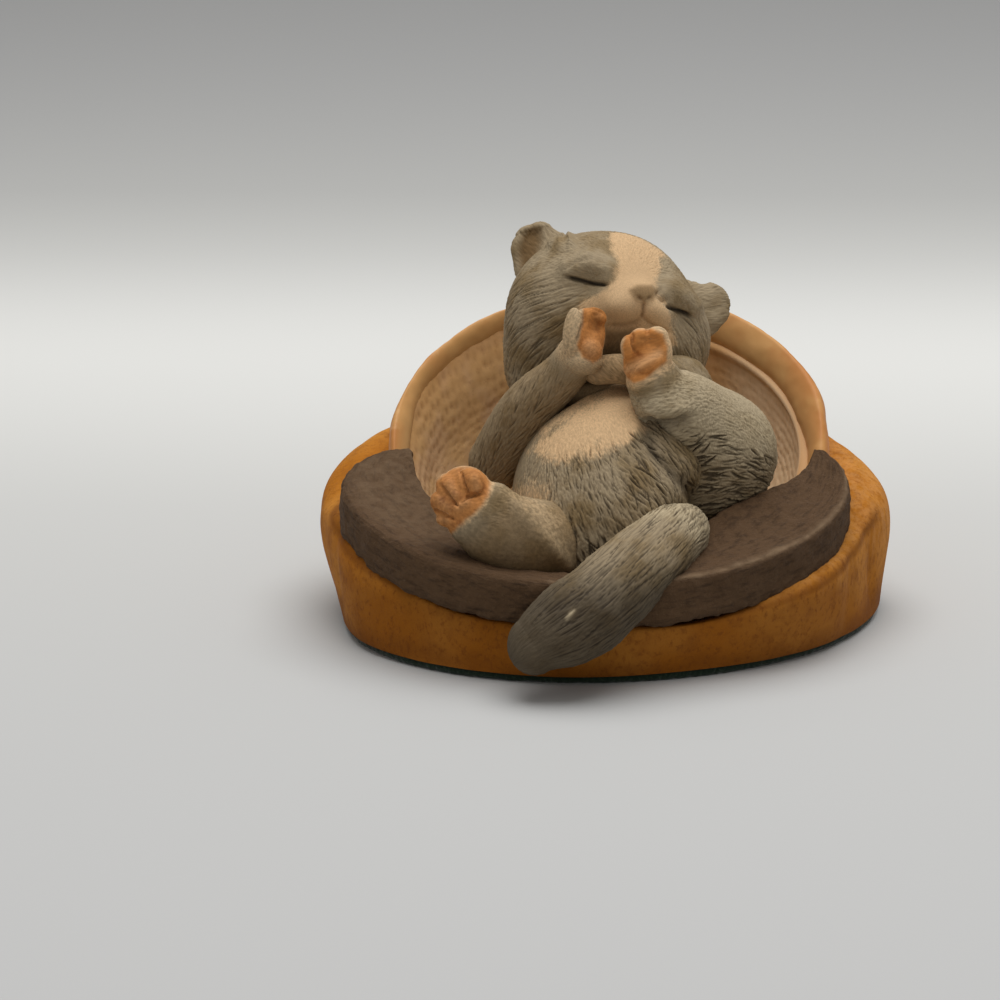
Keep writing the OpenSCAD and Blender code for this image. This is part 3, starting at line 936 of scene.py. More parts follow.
class Spine:
    """A smooth run through stations of x, y, z, half width and half thickness."""

    STEPS = 24

    def __init__(self, stations: list, face: tuple) -> None:
        """Draws the run.

        Args:
            stations: the rows of five numbers, in millimetres.
            face: the way that the thin side of the limb looks.
        """
        s = np.array(stations, float)
        ends = np.vstack([s[:1], s, s[-1:]])
        rows = []
        for i in range(len(s) - 1):
            a, b, c, d = ends[i:i + 4]
            last = i == len(s) - 2
            t = np.linspace(0.0, 1.0, self.STEPS + 1)[: None if last else -1, None]
            cubic = (2 * a - 5 * b + 4 * c - d) * t**2 + (3 * b - a - 3 * c + d) * t**3
            rows.append(0.5 * (2 * b + (c - a) * t + cubic))
        run = np.vstack(rows)
        self.middle = run[:, :3]
        self.halves = run[:, 3:]
        self.along = unit(np.gradient(self.middle, axis=0))
        self.side = unit(np.cross(self.along, np.array(face, float)))
        self.out = np.cross(self.along, self.side)
        steps = np.linalg.norm(np.diff(self.middle, axis=0), axis=1)
        self.way = np.concatenate([[0.0], np.cumsum(steps)])

    def at(self, table: Array, way: Array) -> Array:
        """Reads a table of the run at lengths along it."""
        return np.stack([np.interp(way, self.way, column) for column in table.T], axis=1)

    def skin(self, turn: Array, share: Array) -> tuple[Array, Array]:
        """Lays a net over the limb, with round ends.

        Args:
            turn: angles round the limb.
            share: shares of the way from its first end to its last.

        Returns:
            The points, and the lengths along the run.
        """
        caps = self.halves[[0, -1]].min(axis=1)
        full = self.way[-1] + caps.sum()
        way = full * (1.0 - np.cos(math.pi * share)) / 2.0 - caps[0]
        before = np.clip(-way / caps[0], 0.0, 1.0)
        after = np.clip((way - self.way[-1]) / caps[1], 0.0, 1.0)
        shrink = np.sqrt(np.maximum(1.0 - before**2 - after**2, 0.0))
        middle = self.at(self.middle, way)
        along = unit(self.at(self.along, way))
        middle = middle + along * (after * caps[1] - before * caps[0])[:, None]
        half = self.at(self.halves, way) * shrink[:, None]
        across = self.at(self.side, way) * (half[:, 0] * np.cos(turn))[:, None]
        through = self.at(self.out, way) * (half[:, 1] * np.sin(turn))[:, None]
        return middle + across + through, way


@dataclass
class Cap:
    """The upturned cap: felt pad, crown, lining, rolled rim and visor. Sizes in millimetres.

    The levels are shares of the crown's skin: the foot's edge, the widest line, the shoulder and the rim.
    The bowl's share is how much of the quarter turn to its floor is drawn before the net closes.
    """

    crown_w: float = 72.5
    crown_d: float = 64.0
    belly_h: float = 12.5
    belly_climb: float = 5.0
    shoulder_h: float = 7.0
    crown_tuck: float = 1.75
    wall: float = 0.4
    foot_w: float = 70.0
    foot_d: float = 58.0
    foot_turn: float = 24.0
    foot_side: float = 1.5
    fold_depth: float = 0.5
    fold_count: int = 7
    felt_t: float = 1.0
    felt_inset: float = 0.5
    opening_w: float = 49.0
    opening_d: float = 43.0
    rim_h: float = 20.0
    opening_tilt: float = 27.5
    opening_roll: float = 1.5
    opening_back: float = 4.0
    opening_side: float = 0.8
    floor_h: float = 8.0
    lining_t: float = 1.6
    binding_h: float = 3.6
    binding_t: float = 3.2
    visor_w: float = 67.8
    visor_side: float = -1.1
    visor_front: float = 31.8
    visor_t: float = 5.8
    visor_span: float = 82.0
    visor_rise: float = 3.0
    visor_lip: float = 5.2
    visor_tuck: float = 2.6
    visor_swell: float = 3.0
    curl_right: float = 7.0
    curl_left: float = 8.0
    glue: float = 0.15
    weave_step: float = 1.08
    bowl_share: float = 0.985
    levels: tuple = (0.06, 0.34, 0.66, 0.76)
    folds: tuple = ((-12.0, -8.0, 0.5), (-30.0, 6.0, 0.35), (14.0, 10.0, 0.4), (196.0, 8.0, 0.3),
                    (232.0, -6.0, 0.25))

    def rim(self, a: Array, out: float, lift: float = 0.0) -> Array:
        """Points of the tilted rim at angles, a distance outside the opening."""
        rx, ry = self.opening_w / 2 + out, self.opening_d / 2 + out
        rise = ry * np.sin(a) * math.tan(math.radians(self.opening_tilt))
        rise = rise + rx * np.cos(a) * math.tan(math.radians(self.opening_roll))
        return np.stack([self.opening_side + rx * np.cos(a), self.opening_back + ry * np.sin(a),
                         self.rim_h + rise + lift], axis=-1)

    def outward(self, a: Array) -> Array:
        """Directions out of the opening at angles."""
        return unit(self.rim(a, 1.0) - self.rim(a, 0.0))

    def right_side(self, a: Array) -> Array:
        """How far angles lie on the right of the cap, from 0 to 1."""
        return ease(-0.5, 0.3, np.cos(a))

    def foot(self, a: Array) -> Array:
        """Points of the foot's oval at angles, in the plane."""
        turn = math.radians(self.foot_turn)
        x = self.foot_w / 2 * np.cos(a - turn)
        y = self.foot_d / 2 * np.sin(a - turn)
        return np.stack([self.foot_side + x * math.cos(turn) - y * math.sin(turn),
                         x * math.sin(turn) + y * math.cos(turn)], axis=-1)

    def belly(self, a: Array) -> Array:
        """Points of the crown's widest line at angles."""
        s = np.sin(a)
        z = self.belly_h + self.belly_climb * s + ease(0.4, 1.0, np.cos(a))
        u = self.visor_share(a)
        under = ease(1.08, 0.9, np.abs(u))
        bed = self.visor_edge(u) - self.visor_t + 0.5
        z = mix(z, np.maximum(z, bed), under)
        snug = 1.0 - 0.025 * under
        return np.stack([self.crown_w / 2 * np.cos(a) * snug, self.crown_d / 2 * s * snug, z], axis=-1)

    def visor_share(self, a: Array) -> Array:
        """How far angles lie from the visor's middle: -1 and 1 are its tips."""
        return (np.mod(np.degrees(a), 360.0) - 270.0) / self.visor_span

    def visor_edge(self, u: Array) -> Array:
        """Height of the visor's outer edge at shares of its half length."""
        front = self.rim(np.array([-math.pi / 2]), self.lining_t)[0, 2] + self.visor_lip
        return front + np.where(u > 0.0, self.curl_right, self.curl_left) * u * u

    def shoulder(self, a: Array) -> Array:
        """Points of the crown's shoulder, where it meets the upright wall below the rim."""
        rim = self.rim(a, 2 * self.lining_t + self.wall)
        side = np.cos(a)
        slope = 1.2 * ease(-0.3, -0.9, side) + 2.2 * ease(0.3, 0.9, side)
        high = self.belly(a)[..., 2] + self.shoulder_h - slope
        rim[..., 2] = np.minimum(rim[..., 2] - 2 * self.wall, high)
        return rim

    def bowl(self, a: Array, t: Array, out: float) -> Array:
        """Points of the bowl let into the opening, from its rim at t = 0 to its floor at a quarter turn."""
        rim = self.rim(a, out)
        m = np.sqrt(np.maximum(np.cos(t), 0.0))
        height = mix(rim[:, 2], self.floor_h - out, np.sin(t))
        return np.column_stack([rim[:, :2] * m[:, None], height])

    def bed(self, points: Array) -> Array:
        """Height of the lining under places, and far below where there is none."""
        flat = points[:, :2]
        length = np.linalg.norm(flat, axis=1)
        way = np.column_stack([flat / np.maximum(length, TINY)[:, None], np.zeros(len(flat))])
        radii = (self.opening_w / 2, self.opening_d / 2, 1.0)
        edge = reach(way, (self.opening_side, self.opening_back, 0.0), radii)
        share = length / np.maximum(edge, TINY)
        x = (way[:, 0] * edge - self.opening_side) / radii[0]
        y = (way[:, 1] * edge - self.opening_back) / radii[1]
        t = np.arccos(np.clip(share**2, 0.0, 1.0))
        return np.where(share < 1.0, self.bowl(np.arctan2(y, x), t, 0.0)[:, 2], -1e3)

    def rest(self, points: Array) -> Array:
        """Lifts the places that would sink into the lining onto it."""
        floor = self.bed(points) + self.glue
        return np.column_stack([points[:, :2], np.maximum(points[:, 2], floor)])

    def build_felt(self, material: Material) -> None:
        """Makes the felt pad with its soft cut edge."""
        deselect()
        bpy.ops.mesh.primitive_cylinder_add(vertices=420, radius=1.0, depth=self.felt_t,
                                            location=(0.0, 0.0, self.felt_t / 2))
        bpy.ops.object.transform_apply(location=True)
        clay = Clay(bpy.context.object)
        clay.refine(lambda p: np.linalg.norm(p[:, :2], axis=1) > 0.5, 3)
        a = np.arctan2(clay.points[:, 1], clay.points[:, 0])
        spread = np.linalg.norm(clay.points[:, :2], axis=1)
        z = clay.points[:, 2]
        inset = self.felt_inset + 0.18 * (2.0 * z / self.felt_t - 1.0) ** 2
        edge = np.stack([np.cos(a), np.sin(a)], axis=-1)
        foot = self.foot(a) - edge * inset[:, None]
        side = np.column_stack([foot, z])
        fuzz = 0.10 * grain(side, 0.5, 3) + 0.08 * grain(side, 2.2, 4)
        clay.points = np.column_stack([(foot + edge * fuzz[:, None]) * spread[:, None], z])
        clay.finish("felt_pad", Slot.FELT, material)

    def build_crown(self, material: Material) -> None:
        """Makes the soft crown: flat foot, bulging sides with folds, and the hollow for the lining."""
        clay = Clay.ball("crown", 420, 190)
        a, share = clay.net()
        wide = 0.12 * ease(0.10, 0.30, share) * ease(0.62, 0.50, share)
        rolled = [self.crown_skin(a, share + wide * d) for d in np.linspace(-1.0, 1.0, 9)]
        clay.points = np.mean(rolled, axis=0)
        disc, middle, high, _ = self.levels
        height = np.clip((share - disc) / (high - disc), 0.0, 1.0)
        keep = np.where((share >= disc) & (share < high), np.sin(math.pi * height) ** 0.5, 0.0)
        fold = self.fold_depth * np.sin(self.fold_count * a + math.radians(40.0))
        soft = 0.40 * clay.grain(9.0, 11) + 0.12 * grain(clay.points * [1, 1, 0.4], 3.0, 12)
        clay.push((fold + soft) * keep)
        climb = np.array([0.10, 0.35, 0.60, 0.85])
        rows = np.interp(climb, (0.0, 0.5, 1.0), (disc, middle, high))
        for turn, lean, deep in self.folds:
            clay.groove(self.crown_skin(np.radians(turn + lean * climb), rows), 1.3, deep)
        clay.write()
        apply_modifier(clay.obj, "SMOOTH", factor=0.5, iterations=3)
        clay.points = clay.read()
        z = clay.points[:, 2]
        # Painted shade: darker low down and at the front, and a dark band under the visor's edge.
        front = ease(0.1, -0.7, np.sin(a))
        cloudy = z + 1.3 * clay.grain(3.0, 13)
        u = self.visor_share(a)
        shade_under_visor = bell(z - self.visor_edge(u) + self.visor_t, 0.8) * ease(1.05, 0.95, np.abs(u)) * (share < high)
        low = np.maximum(0.85 * ease(8.0, 1.5, cloudy), 0.6 * front * ease(13.0, 8.0, cloudy))
        clay.lay(Mask.WASH, np.maximum(low, 0.85 * shade_under_visor))
        # Paler paint on the right and higher up, partly a painted highlight where light falls.
        clay.lay(Mask.CREAM, 0.30 * ease(0.35, 0.85, np.cos(a)) * ease(6.0, 12.0, cloudy))
        clay.finish("cap_crown", Slot.CAP, material)

    def crown_skin(self, a: Array, share: Array) -> Array:
        """Points of the crown before it is softened.

        Args:
            a: angles round the cap.
            share: shares of the way from under the foot, up the side and over the rim to the bowl's floor.

        Returns:
            The points.
        """
        foot, belly, shoulder = self.foot(a), self.belly(a), self.shoulder(a)
        foot = np.column_stack([foot, np.full(len(a), self.felt_t)])
        rim = self.rim(a, 2 * self.lining_t)
        disc, low, high, top = self.levels
        t_low = QUARTER * np.clip((share - disc) / (low - disc), 0.0, 1.0)
        out = np.sin(t_low)[:, None] ** self.crown_tuck
        up = 1.0 - np.maximum(np.cos(t_low), 0.0) ** self.crown_tuck
        lower = np.column_stack([mix(foot[:, :2], belly[:, :2], out), mix(foot[:, 2], belly[:, 2], up)])
        t_high = QUARTER * np.clip((share - low) / (high - low), 0.0, 1.0)
        upper = np.column_stack([mix(belly[:, :2], shoulder[:, :2], 1.0 - np.cos(t_high)[:, None]),
                                 mix(belly[:, 2], shoulder[:, 2], np.sin(t_high))])
        wall = mix(shoulder, rim, np.clip((share - high) / (top - high), 0.0, 1.0)[:, None])
        t_in = QUARTER * self.bowl_share * np.clip((share - top) / (1.0 - top), 0.0, 1.0)
        inner = self.bowl(a, t_in, self.lining_t + self.glue)
        base = np.column_stack([foot[:, :2] * np.clip(share / disc, 0.0, 1.0)[:, None], foot[:, 2]])
        stack = [share < disc, share < low, share < high, share < top]
        return np.select([s[:, None] for s in stack], [base, lower, upper, wall], inner)

    def dimples(self, clay: Clay, a: Array, drop: Array) -> Array:
        """How deep the weave's dimples are at the points of the lining, from 0 to 1.

        Args:
            clay: the lining.
            a: angles round the cap.
            drop: distances below the rim.

        Returns:
            One value for each point.
        """
        row = drop / (0.9 * self.weave_step)
        column = a * (self.opening_w + self.opening_d) / 4 / self.weave_step
        cell = np.column_stack([np.floor(column), np.floor(row), np.zeros(len(a))]) + 0.5
        off_x = column - cell[:, 0] - 0.2 * grain(cell, 1.0, 21)
        off_y = row - cell[:, 1] - 0.2 * grain(cell, 1.0, 22)
        worn = np.clip(0.65 + 0.5 * grain(cell, 1.0, 23) + 0.35 * clay.grain(5.0, 25), 0.0, 1.0)
        return bell(off_x, 0.29) * bell(off_y, 0.23) * worn

    def build_lining(self, material: Material) -> None:
        """Makes the woven lining: a smooth band below the rim at the right, its hem, and rows of dimples."""
        clay = Clay.ball("lining", 520, 190)
        a, share = clay.net()
        under = 0.20
        quarter = QUARTER * self.bowl_share
        inside = share >= under
        t = np.where(inside, quarter * np.clip((share - under) / (1.0 - under), 0.0, 1.0) ** 0.8,
                     quarter * (1.0 - share / under))
        clay.points = np.where(inside[:, None], self.bowl(a, t, 0.0), self.bowl(a, t, self.lining_t))
        drop = np.where(inside, np.linalg.norm(clay.points - self.rim(a, 0.0), axis=1), 0.0)
        right = self.right_side(a)
        flare = ease(7.0, 0.0, drop) * inside
        spread = 2.2 * (1.0 - right) * flare**2 * ease(-0.22, -0.04, np.sin(a))
        clay.points += self.outward(a) * spread[:, None]
        clay.points[:, 2] += flare * mix(4.0 * ease(-0.25, 0.15, np.sin(a)), 0.6, right)
        hem_at = 0.8 * right
        hem = bell(drop - hem_at, 0.45) * inside * right
        cloth = ease(0.1, 0.9, drop - hem_at) * inside
        dimple = self.dimples(clay, a, drop) * cloth * ease(11.0, 6.5, drop)
        clay.push(0.40 * hem - 0.22 * dimple + 0.07 * cloth * clay.grain(0.9, 24))
        clay.lay(Mask.WEAVE, dimple)
        low = ease(0.5, -0.1, np.sin(a))
        # Painted shade on the lining beside the head.
        shade_by_head = 0.8 * bell(np.degrees(a) - 56.0, 10.0) * inside
        band = mix(0.6 * ease(5.0, 0.5, drop), ease(0.3, -0.3, drop - hem_at), right) * inside
        clay.lay(Mask.BAND, np.maximum(band, shade_by_head))
        pale = 0.7 * bell(drop - 0.5, 0.5) * low * (1.0 - right) * inside
        # The right side is painted paler as painted light, away from the shade beside the head; the pale line
        # at the left and the hem are the lining's own colour.
        clay.lay(Mask.CREAM, np.maximum(pale, np.maximum(hem, 0.9 * right * cloth) * (1.0 - shade_by_head)))
        # Painted shade in the crease above the hem.
        clay.lay(Mask.WASH, 0.35 * bell(drop - hem_at + 0.6, 0.25) * inside * right)
        clay.finish("cap_lining", Slot.LINING, material)

    def build_binding(self, material: Material) -> None:
        """Makes the rolled binding that runs round the back from one visor tip to the other."""
        clay = Clay.ball("binding", 64, 420)
        turn, share = clay.net()
        sweep = np.radians(np.linspace(self.visor_span - 91.0, 271.0 - self.visor_span, 80))
        sink, lap = 0.45, 0.25
        half = self.binding_t * mix(0.26, 0.36, self.right_side(sweep))
        middle = self.rim(sweep, self.binding_t + lap - half, self.binding_h / 2 + self.glue - sink)
        ends = np.abs(np.linspace(-1.0, 1.0, len(sweep))) ** 14
        middle[:, 2] -= 2.4 * ends
        tilt = math.radians(self.opening_tilt)
        rows = [[*p, h, self.binding_h / 2 + sink] for p, h in zip(middle, half)]
        clay.points, _ = Spine(rows, (0.0, -math.sin(tilt), math.cos(tilt))).skin(turn, share)
        x, y = clay.points[:, 0] - self.opening_side, clay.points[:, 1] - self.opening_back
        a = np.arctan2(y / self.opening_d, x / self.opening_w)
        right = self.right_side(a)
        broad = mix(ease(0.45, 0.05, np.sin(a)), ease(-0.12, 0.22, np.sin(a)), right)
        inner, outer = np.clip(-np.cos(turn), 0.0, 1.0), np.clip(np.cos(turn), 0.0, 1.0)
        clay.points -= self.outward(a) * (inner * mix(0.3, 1.0, broad))[:, None]
        clay.points[:, 2] -= inner * mix(0.5, 1.3, broad)
        clay.push(0.18 * clay.grain(4.5, 31) + 0.05 * clay.grain(1.1, 32))
        clay.push(0.40 * right * np.maximum(clay.grain(7.0, 33), 0.0))
        low = ease(0.5, -0.1, np.sin(a))
        # Pale inner side, partly a painted highlight, most at the front on the left.
        clay.lay(Mask.CREAM, inner * mix(mix(0.5, 0.9, low), 0.50, right))
        clay.lay(Mask.BAND, ease(0.2, 0.8, outer))
        # Painted shade on the underside of the inner side, in the crease with the lining.
        clay.lay(Mask.WASH, 0.20 * ease(0.90, 1.0, inner) * broad)
        clay.finish("rim_binding", Slot.BINDING, material)

    def visor_section(self, a: Array) -> Array:
        """Corners of the visor's cross-section at angles.

        Args:
            a: angles round the cap.

        Returns:
            Eight corners for each angle, from the inner top round the outer edge to the inner bottom.
        """
        u = self.visor_share(a)
        wide = np.sqrt(1.0 - 0.8 * np.abs(u) ** 12)[:, None]
        tuck = self.visor_tuck * bell(u - 0.48, 0.26) + 0.9 * ease(-0.30, -0.55, u)
        rim = self.rim(a, self.lining_t) - self.outward(a) * tuck[:, None]
        curl = np.where(u > 0.0, self.curl_right, self.curl_left)
        rise = self.visor_rise + np.where(u > 0.0, -0.16, 0.03) * curl * u * u
        rise = rise + self.visor_swell * np.maximum(np.sin(math.pi * u), 0.0)
        inner = rim + np.outer(rise, UP)
        full = np.column_stack([self.visor_side + self.visor_w / 2 * np.cos(a), self.visor_front * np.sin(a),
                                self.visor_edge(u)])
        outer = mix(inner, full, wide)
        dip = 1.1 * ease(0.05, 0.5, u) * ease(1.0, 0.75, u)
        middle = mix(inner, outer, 0.5) - np.outer(dip, UP)
        round_off, crown = 0.6, 0.3
        lip = outer - unit((outer - inner) * [1.0, 1.0, 0.0]) * round_off
        edge, drop = UP * round_off, UP * self.visor_t
        return np.stack([inner, middle + UP * crown, lip, outer - edge, outer - drop + edge, lip - drop,
                         middle - drop, inner - drop], axis=1)

    def visor_rings(self, angles: Array, sides: Array, cap_rows: int) -> Array:
        """Rings of points round the visor's cross-section, drawn in to a blunt tip at both ends.

        Args:
            angles: angles round the cap, one for each ring.
            sides: number of points on each side of the cross-section.
            cap_rows: number of rings that close an end.

        Returns:
            The points of each ring.
        """
        corners = self.visor_section(angles)
        share = np.concatenate([np.arange(n) / n for n in sides])[:, None]
        start = np.repeat(np.arange(len(sides)), sides)
        ring = mix(corners[:, start], corners[:, (start + 1) % len(sides)], share)
        for _ in range(5):
            ring = (np.roll(ring, 1, axis=1) + 2.0 * ring + np.roll(ring, -1, axis=1)) / 4.0
        first = np.clip(1.0 - np.arange(len(angles)) / cap_rows, 0.0, 1.0)
        last = first[::-1]
        close = np.sqrt(np.maximum(1.0 - first**2 - last**2, 0.0))[:, None, None]
        heart = ring.mean(axis=1, keepdims=True)
        ahead = unit(np.gradient(heart[:, 0], axis=0))
        ahead[:cap_rows] = ahead[cap_rows + 1]
        ahead[-cap_rows:] = ahead[-cap_rows - 2]
        tip = 0.9 * (last - first)
        return heart + (ring - heart) * close + (ahead * tip[:, None])[:, None]

    def build_visor(self, material: Material) -> None:
        """Makes the thick crescent of the visor with its blunt tips and rough cut edge."""
        sides = np.array([16, 16, 8, 16, 8, 16, 16, 16])
        around, along, cap_rows = int(sides.sum()), 420, 10
        clay = Clay.ball("visor", around, along)
        turn, share = clay.net()
        row = np.rint(share * along).astype(int)
        spot = np.rint(np.mod(turn, 2 * math.pi) / (2 * math.pi) * around).astype(int) % around
        rise = np.clip((np.arange(along + 1) - cap_rows) / (along - 2 * cap_rows), 0.0, 1.0)
        angles = np.radians(270.0 + self.visor_span * (2.0 * rise - 1.0))
        clay.points = self.visor_rings(angles, sides, cap_rows)[row, spot]
        angle = angles[row]
        u = self.visor_share(angle)
        side_share = spot / around
        spin = 2 * math.pi * side_share
        clay.run = np.column_stack([0.55 * np.degrees(angle), 6.0 * np.cos(spin), 6.0 * np.sin(spin)])
        rough = 0.12 * clay.grain(0.45, 41) + 0.18 * clay.grain(1.4, 42) + 0.20 * clay.grain(4.0, 47)
        fray = clay.grain(0.7, 43) + 0.8 * clay.grain(1.7, 46)
        clay.push(0.8 * rough + 0.20 * fray * bell(side_share - 0.53, 0.06))
        clay.points[:, 2] += 0.5 * ease(0.90, 1.0, u)
        rubbed = bell(side_share - 0.295, 0.024) * ease(-0.1, 0.2, u + 0.3 * clay.grain(3.0, 44))
        frayed = bell(np.minimum(side_share, 1.0 - side_share), 0.012) * ease(-0.35, -0.5, u)
        # Painted highlight: the top face at the left is paler where light falls on it.
        top_highlight = 0.40 * ease(-0.2, -0.7, u) * ease(0.30, 0.22, side_share)
        # Pale marks: the rubbed edge, the frayed inner edge and the painted highlight.
        worn = np.maximum(np.maximum(rubbed, frayed), top_highlight)
        clay.lay(Mask.CREAM, worn * (0.8 + 0.6 * clay.grain(0.8, 45)))
        # Painted shade on the front face and underside, more towards the right end and lower down.
        face = ease(0.31, 0.36, side_share) * ease(1.0, 0.9, side_share)
        clay.lay(Mask.WASH, np.maximum(0.25 * ease(0.0, 0.5, u), 0.35 * ease(0.40, 0.60, side_share)) * face)
        clay.finish("cap_visor", Slot.VISOR, material)


@dataclass(frozen=True)
class Lump:
    """A round lump of a paw: middle and half sizes in the paw's own frame, and a turn in degrees."""

    at: tuple
    size: tuple
    turn: tuple = (0.0, 0.0, 0.0)


@dataclass(frozen=True)
class Paw:
    """A paw, with its palm towards its own -Y and its toes upwards."""

    at: Array
    turn: tuple
    lumps: tuple

    def local(self, points: Array) -> Array:
        """Places as the paw's own frame sees them."""
        return (points - self.at) @ turning(self.turn)

    def far(self, points: Array) -> Array:
        """How far places are from the paw's middle."""
        return np.linalg.norm(points - self.at, axis=1)

    def model(self) -> list[Object]:
        """Adds the paw's lumps as balls at their sizes and places."""
        stand = standing(self.at, self.turn)
        made = []
        for lump in self.lumps:
            ball = Clay.ball("lump", 32, 20).obj
            ball.matrix_world = stand @ standing(lump.at, lump.turn) @ Matrix.Diagonal((*lump.size, 1.0))
            bpy.ops.object.transform_apply()
            made.append(ball)
        return made


def fuse(name: str, parts: list, voxel: float, soften: int) -> Clay:
    """Joins closed parts into one skin and softens where they meet.

    Args:
        name: name of the piece.
        parts: the objects to join.
        voxel: edge of the new faces, in millimetres.
        soften: how often the skin is smoothed.

    Returns:
        The joined clay.
    """
    deselect()
    for part in parts:
        part.select_set(True)
    bpy.context.view_layer.objects.active = parts[0]
    bpy.ops.object.join()
    skin = bpy.context.object
    skin.name = name
    apply_modifier(skin, "REMESH", mode="VOXEL", voxel_size=voxel, adaptivity=0.0)
    apply_modifier(skin, "SMOOTH", factor=0.5, iterations=soften)
    return Clay(skin)


@dataclass(frozen=True)
class Marks:
    """Lines and outlines of the kitten as the photographer sees them, on the picture's grid."""

    eyes: tuple = (((564.5, 276.6), (578.6, 280.3), (592.7, 283.7), (608.2, 284.5)), ((666.5, 304.5),
                   (677.2, 310.7), (692.7, 316.9)))
    lids: tuple = (((569, 269.5), (588, 262.5), (609, 271.5)), ((669, 289), (680, 296), (691, 306.5)))
    lid_folds: tuple = (((561.7, 270.4), (573, 260.6), (592.7, 255.5), (606, 261)), ((657, 286), (661, 296),
                        (667.5, 305)))
    tufts: tuple = (((547, 236), (551, 243)), ((557, 237), (560, 246)), ((569, 238), (570, 245)))
    nose: tuple = ((630.7, 290.1), (637.7, 285.9), (650.4, 285.9), (656, 291.5), (651.8, 298.6),
                   (644.8, 302.8), (636.3, 298.6))
    nostrils: tuple = (((637.5, 297), (641.5, 300)), ((651, 297), (647.5, 300)))
    lip: tuple = ((643.4, 302.8), (642.8, 311.3), (641.1, 319.7))
    mouth: tuple = (((642, 319), (634, 324.5), (624, 327.5), (608, 327)), ((641.5, 318.5), (648, 325),
                    (658, 330), (670, 332.5)))
    pads: tuple = (((616, 307.5), (626, 309.5)), ((654, 311), (661, 315)))
    chin: tuple = ((603, 330), (622, 330), (634, 331), (640, 345), (630, 400), (600, 400))
    blaze: tuple = ((612, 215), (611, 241), (615, 253.5), (617, 270), (616, 280), (603, 291.5), (582, 303),
                    (578, 345), (676, 345), (672, 321), (667, 308.5), (661, 297), (655.5, 284.5),
                    (656, 274.6), (659, 264.8), (663, 253.5), (652, 242), (640, 215))
    ear: tuple = ((522.3, 233.8), (532, 226.8), (540.6, 229.6), (541.4, 239.4), (537.7, 253.5),
                  (530.7, 264.8), (522.3, 270.4), (518.9, 256.3))
    belly: tuple = ((535, 452), (545, 433), (560, 416), (585, 398), (612, 384), (642, 374), (649, 400),
                    (645, 426), (632, 441), (610, 450), (585, 456), (558, 457))
    thigh: tuple = ((498, 486), (540, 480), (558, 512), (573, 556), (566, 568), (530, 526))
    shin: tuple = ((438, 530), (470, 522), (496, 494), (520, 513), (544, 541), (566, 568), (556, 580),
                   (470, 566))
    thigh_ridge: tuple = ((500, 492), (520, 512), (544, 540), (566, 566))
    neck: tuple = ((528, 428), (560, 406), (585, 391), (612, 380), (640, 373), (650, 345), (600, 345),
                   (555, 380), (520, 420))
    groin: tuple = ((643, 412), (647, 432), (655, 452), (672, 468), (690, 490), (706, 522))
    shag: tuple = ((686, 432), (728, 436), (745, 455), (775, 460), (779, 480), (757, 508), (712, 530),
                   (698, 518), (688, 482), (682, 450))
    hock: tuple = ((652, 411), (680, 412))
    hock_fold: tuple = ((641, 419), (654, 427.5), (676, 426), (693, 416))
    fore_sole: tuple = ((582.8, 305.6), (592.7, 302), (603.9, 306), (609.5, 315.5), (607.8, 332.4),
                        (605, 346.5), (601, 357.7), (592.7, 362.4), (582.4, 356.7), (576.8, 345.5),
                        (579.6, 332.4), (582.8, 321))
    fore_crease: tuple = ((582, 307.5), (584.5, 322), (579.5, 335), (576.5, 344))
    fore_hollow: tuple = ((597.5, 314), (596, 328))
    fore_pad: tuple = ((590, 348), (592, 351))
    raised_sole: tuple = ((622.3, 346.5), (625.5, 333.5), (637.7, 328.8), (651.8, 329), (663, 333.5),
                          (667.5, 346.5), (666.5, 360.6), (655.6, 370.4), (643.4, 380.3), (633.5, 383),
                          (624, 375.6), (617, 368.6), (622.7, 357.7))
    raised_creases: tuple = (((631.5, 332), (633, 345), (637, 354)), ((647, 327.5), (648, 336)))
    raised_hollow: tuple = ((643.5, 339.5), (655.5, 339))
    raised_ridge: tuple = ((624, 372), (640, 364), (659, 353.5))
    rest_sole: tuple = ((434, 482), (449, 469.5), (467, 465.5), (483, 468.5), (490, 481), (488, 497),
                        (477, 511), (463, 522.5), (450, 535), (435, 529), (427, 512), (428, 495))
    rest_pads: tuple = (((475, 480), (477, 488)), ((449, 485), (455, 495)), ((439, 499), (447, 507)),
                        ((459, 507), (466, 503)), ((438, 519), (446, 520)))
    rest_creases: tuple = (((460, 470.5), (463.5, 483), (469, 496)), ((440, 484.5), (451, 499.5),
                           (459, 508)), ((431, 508.5), (445, 515), (455, 520.6)), ((457, 503.5),
                           (468, 496.5), (484, 493)))
    chip: tuple = ((566.5, 618.5), (573.5, 610.5))


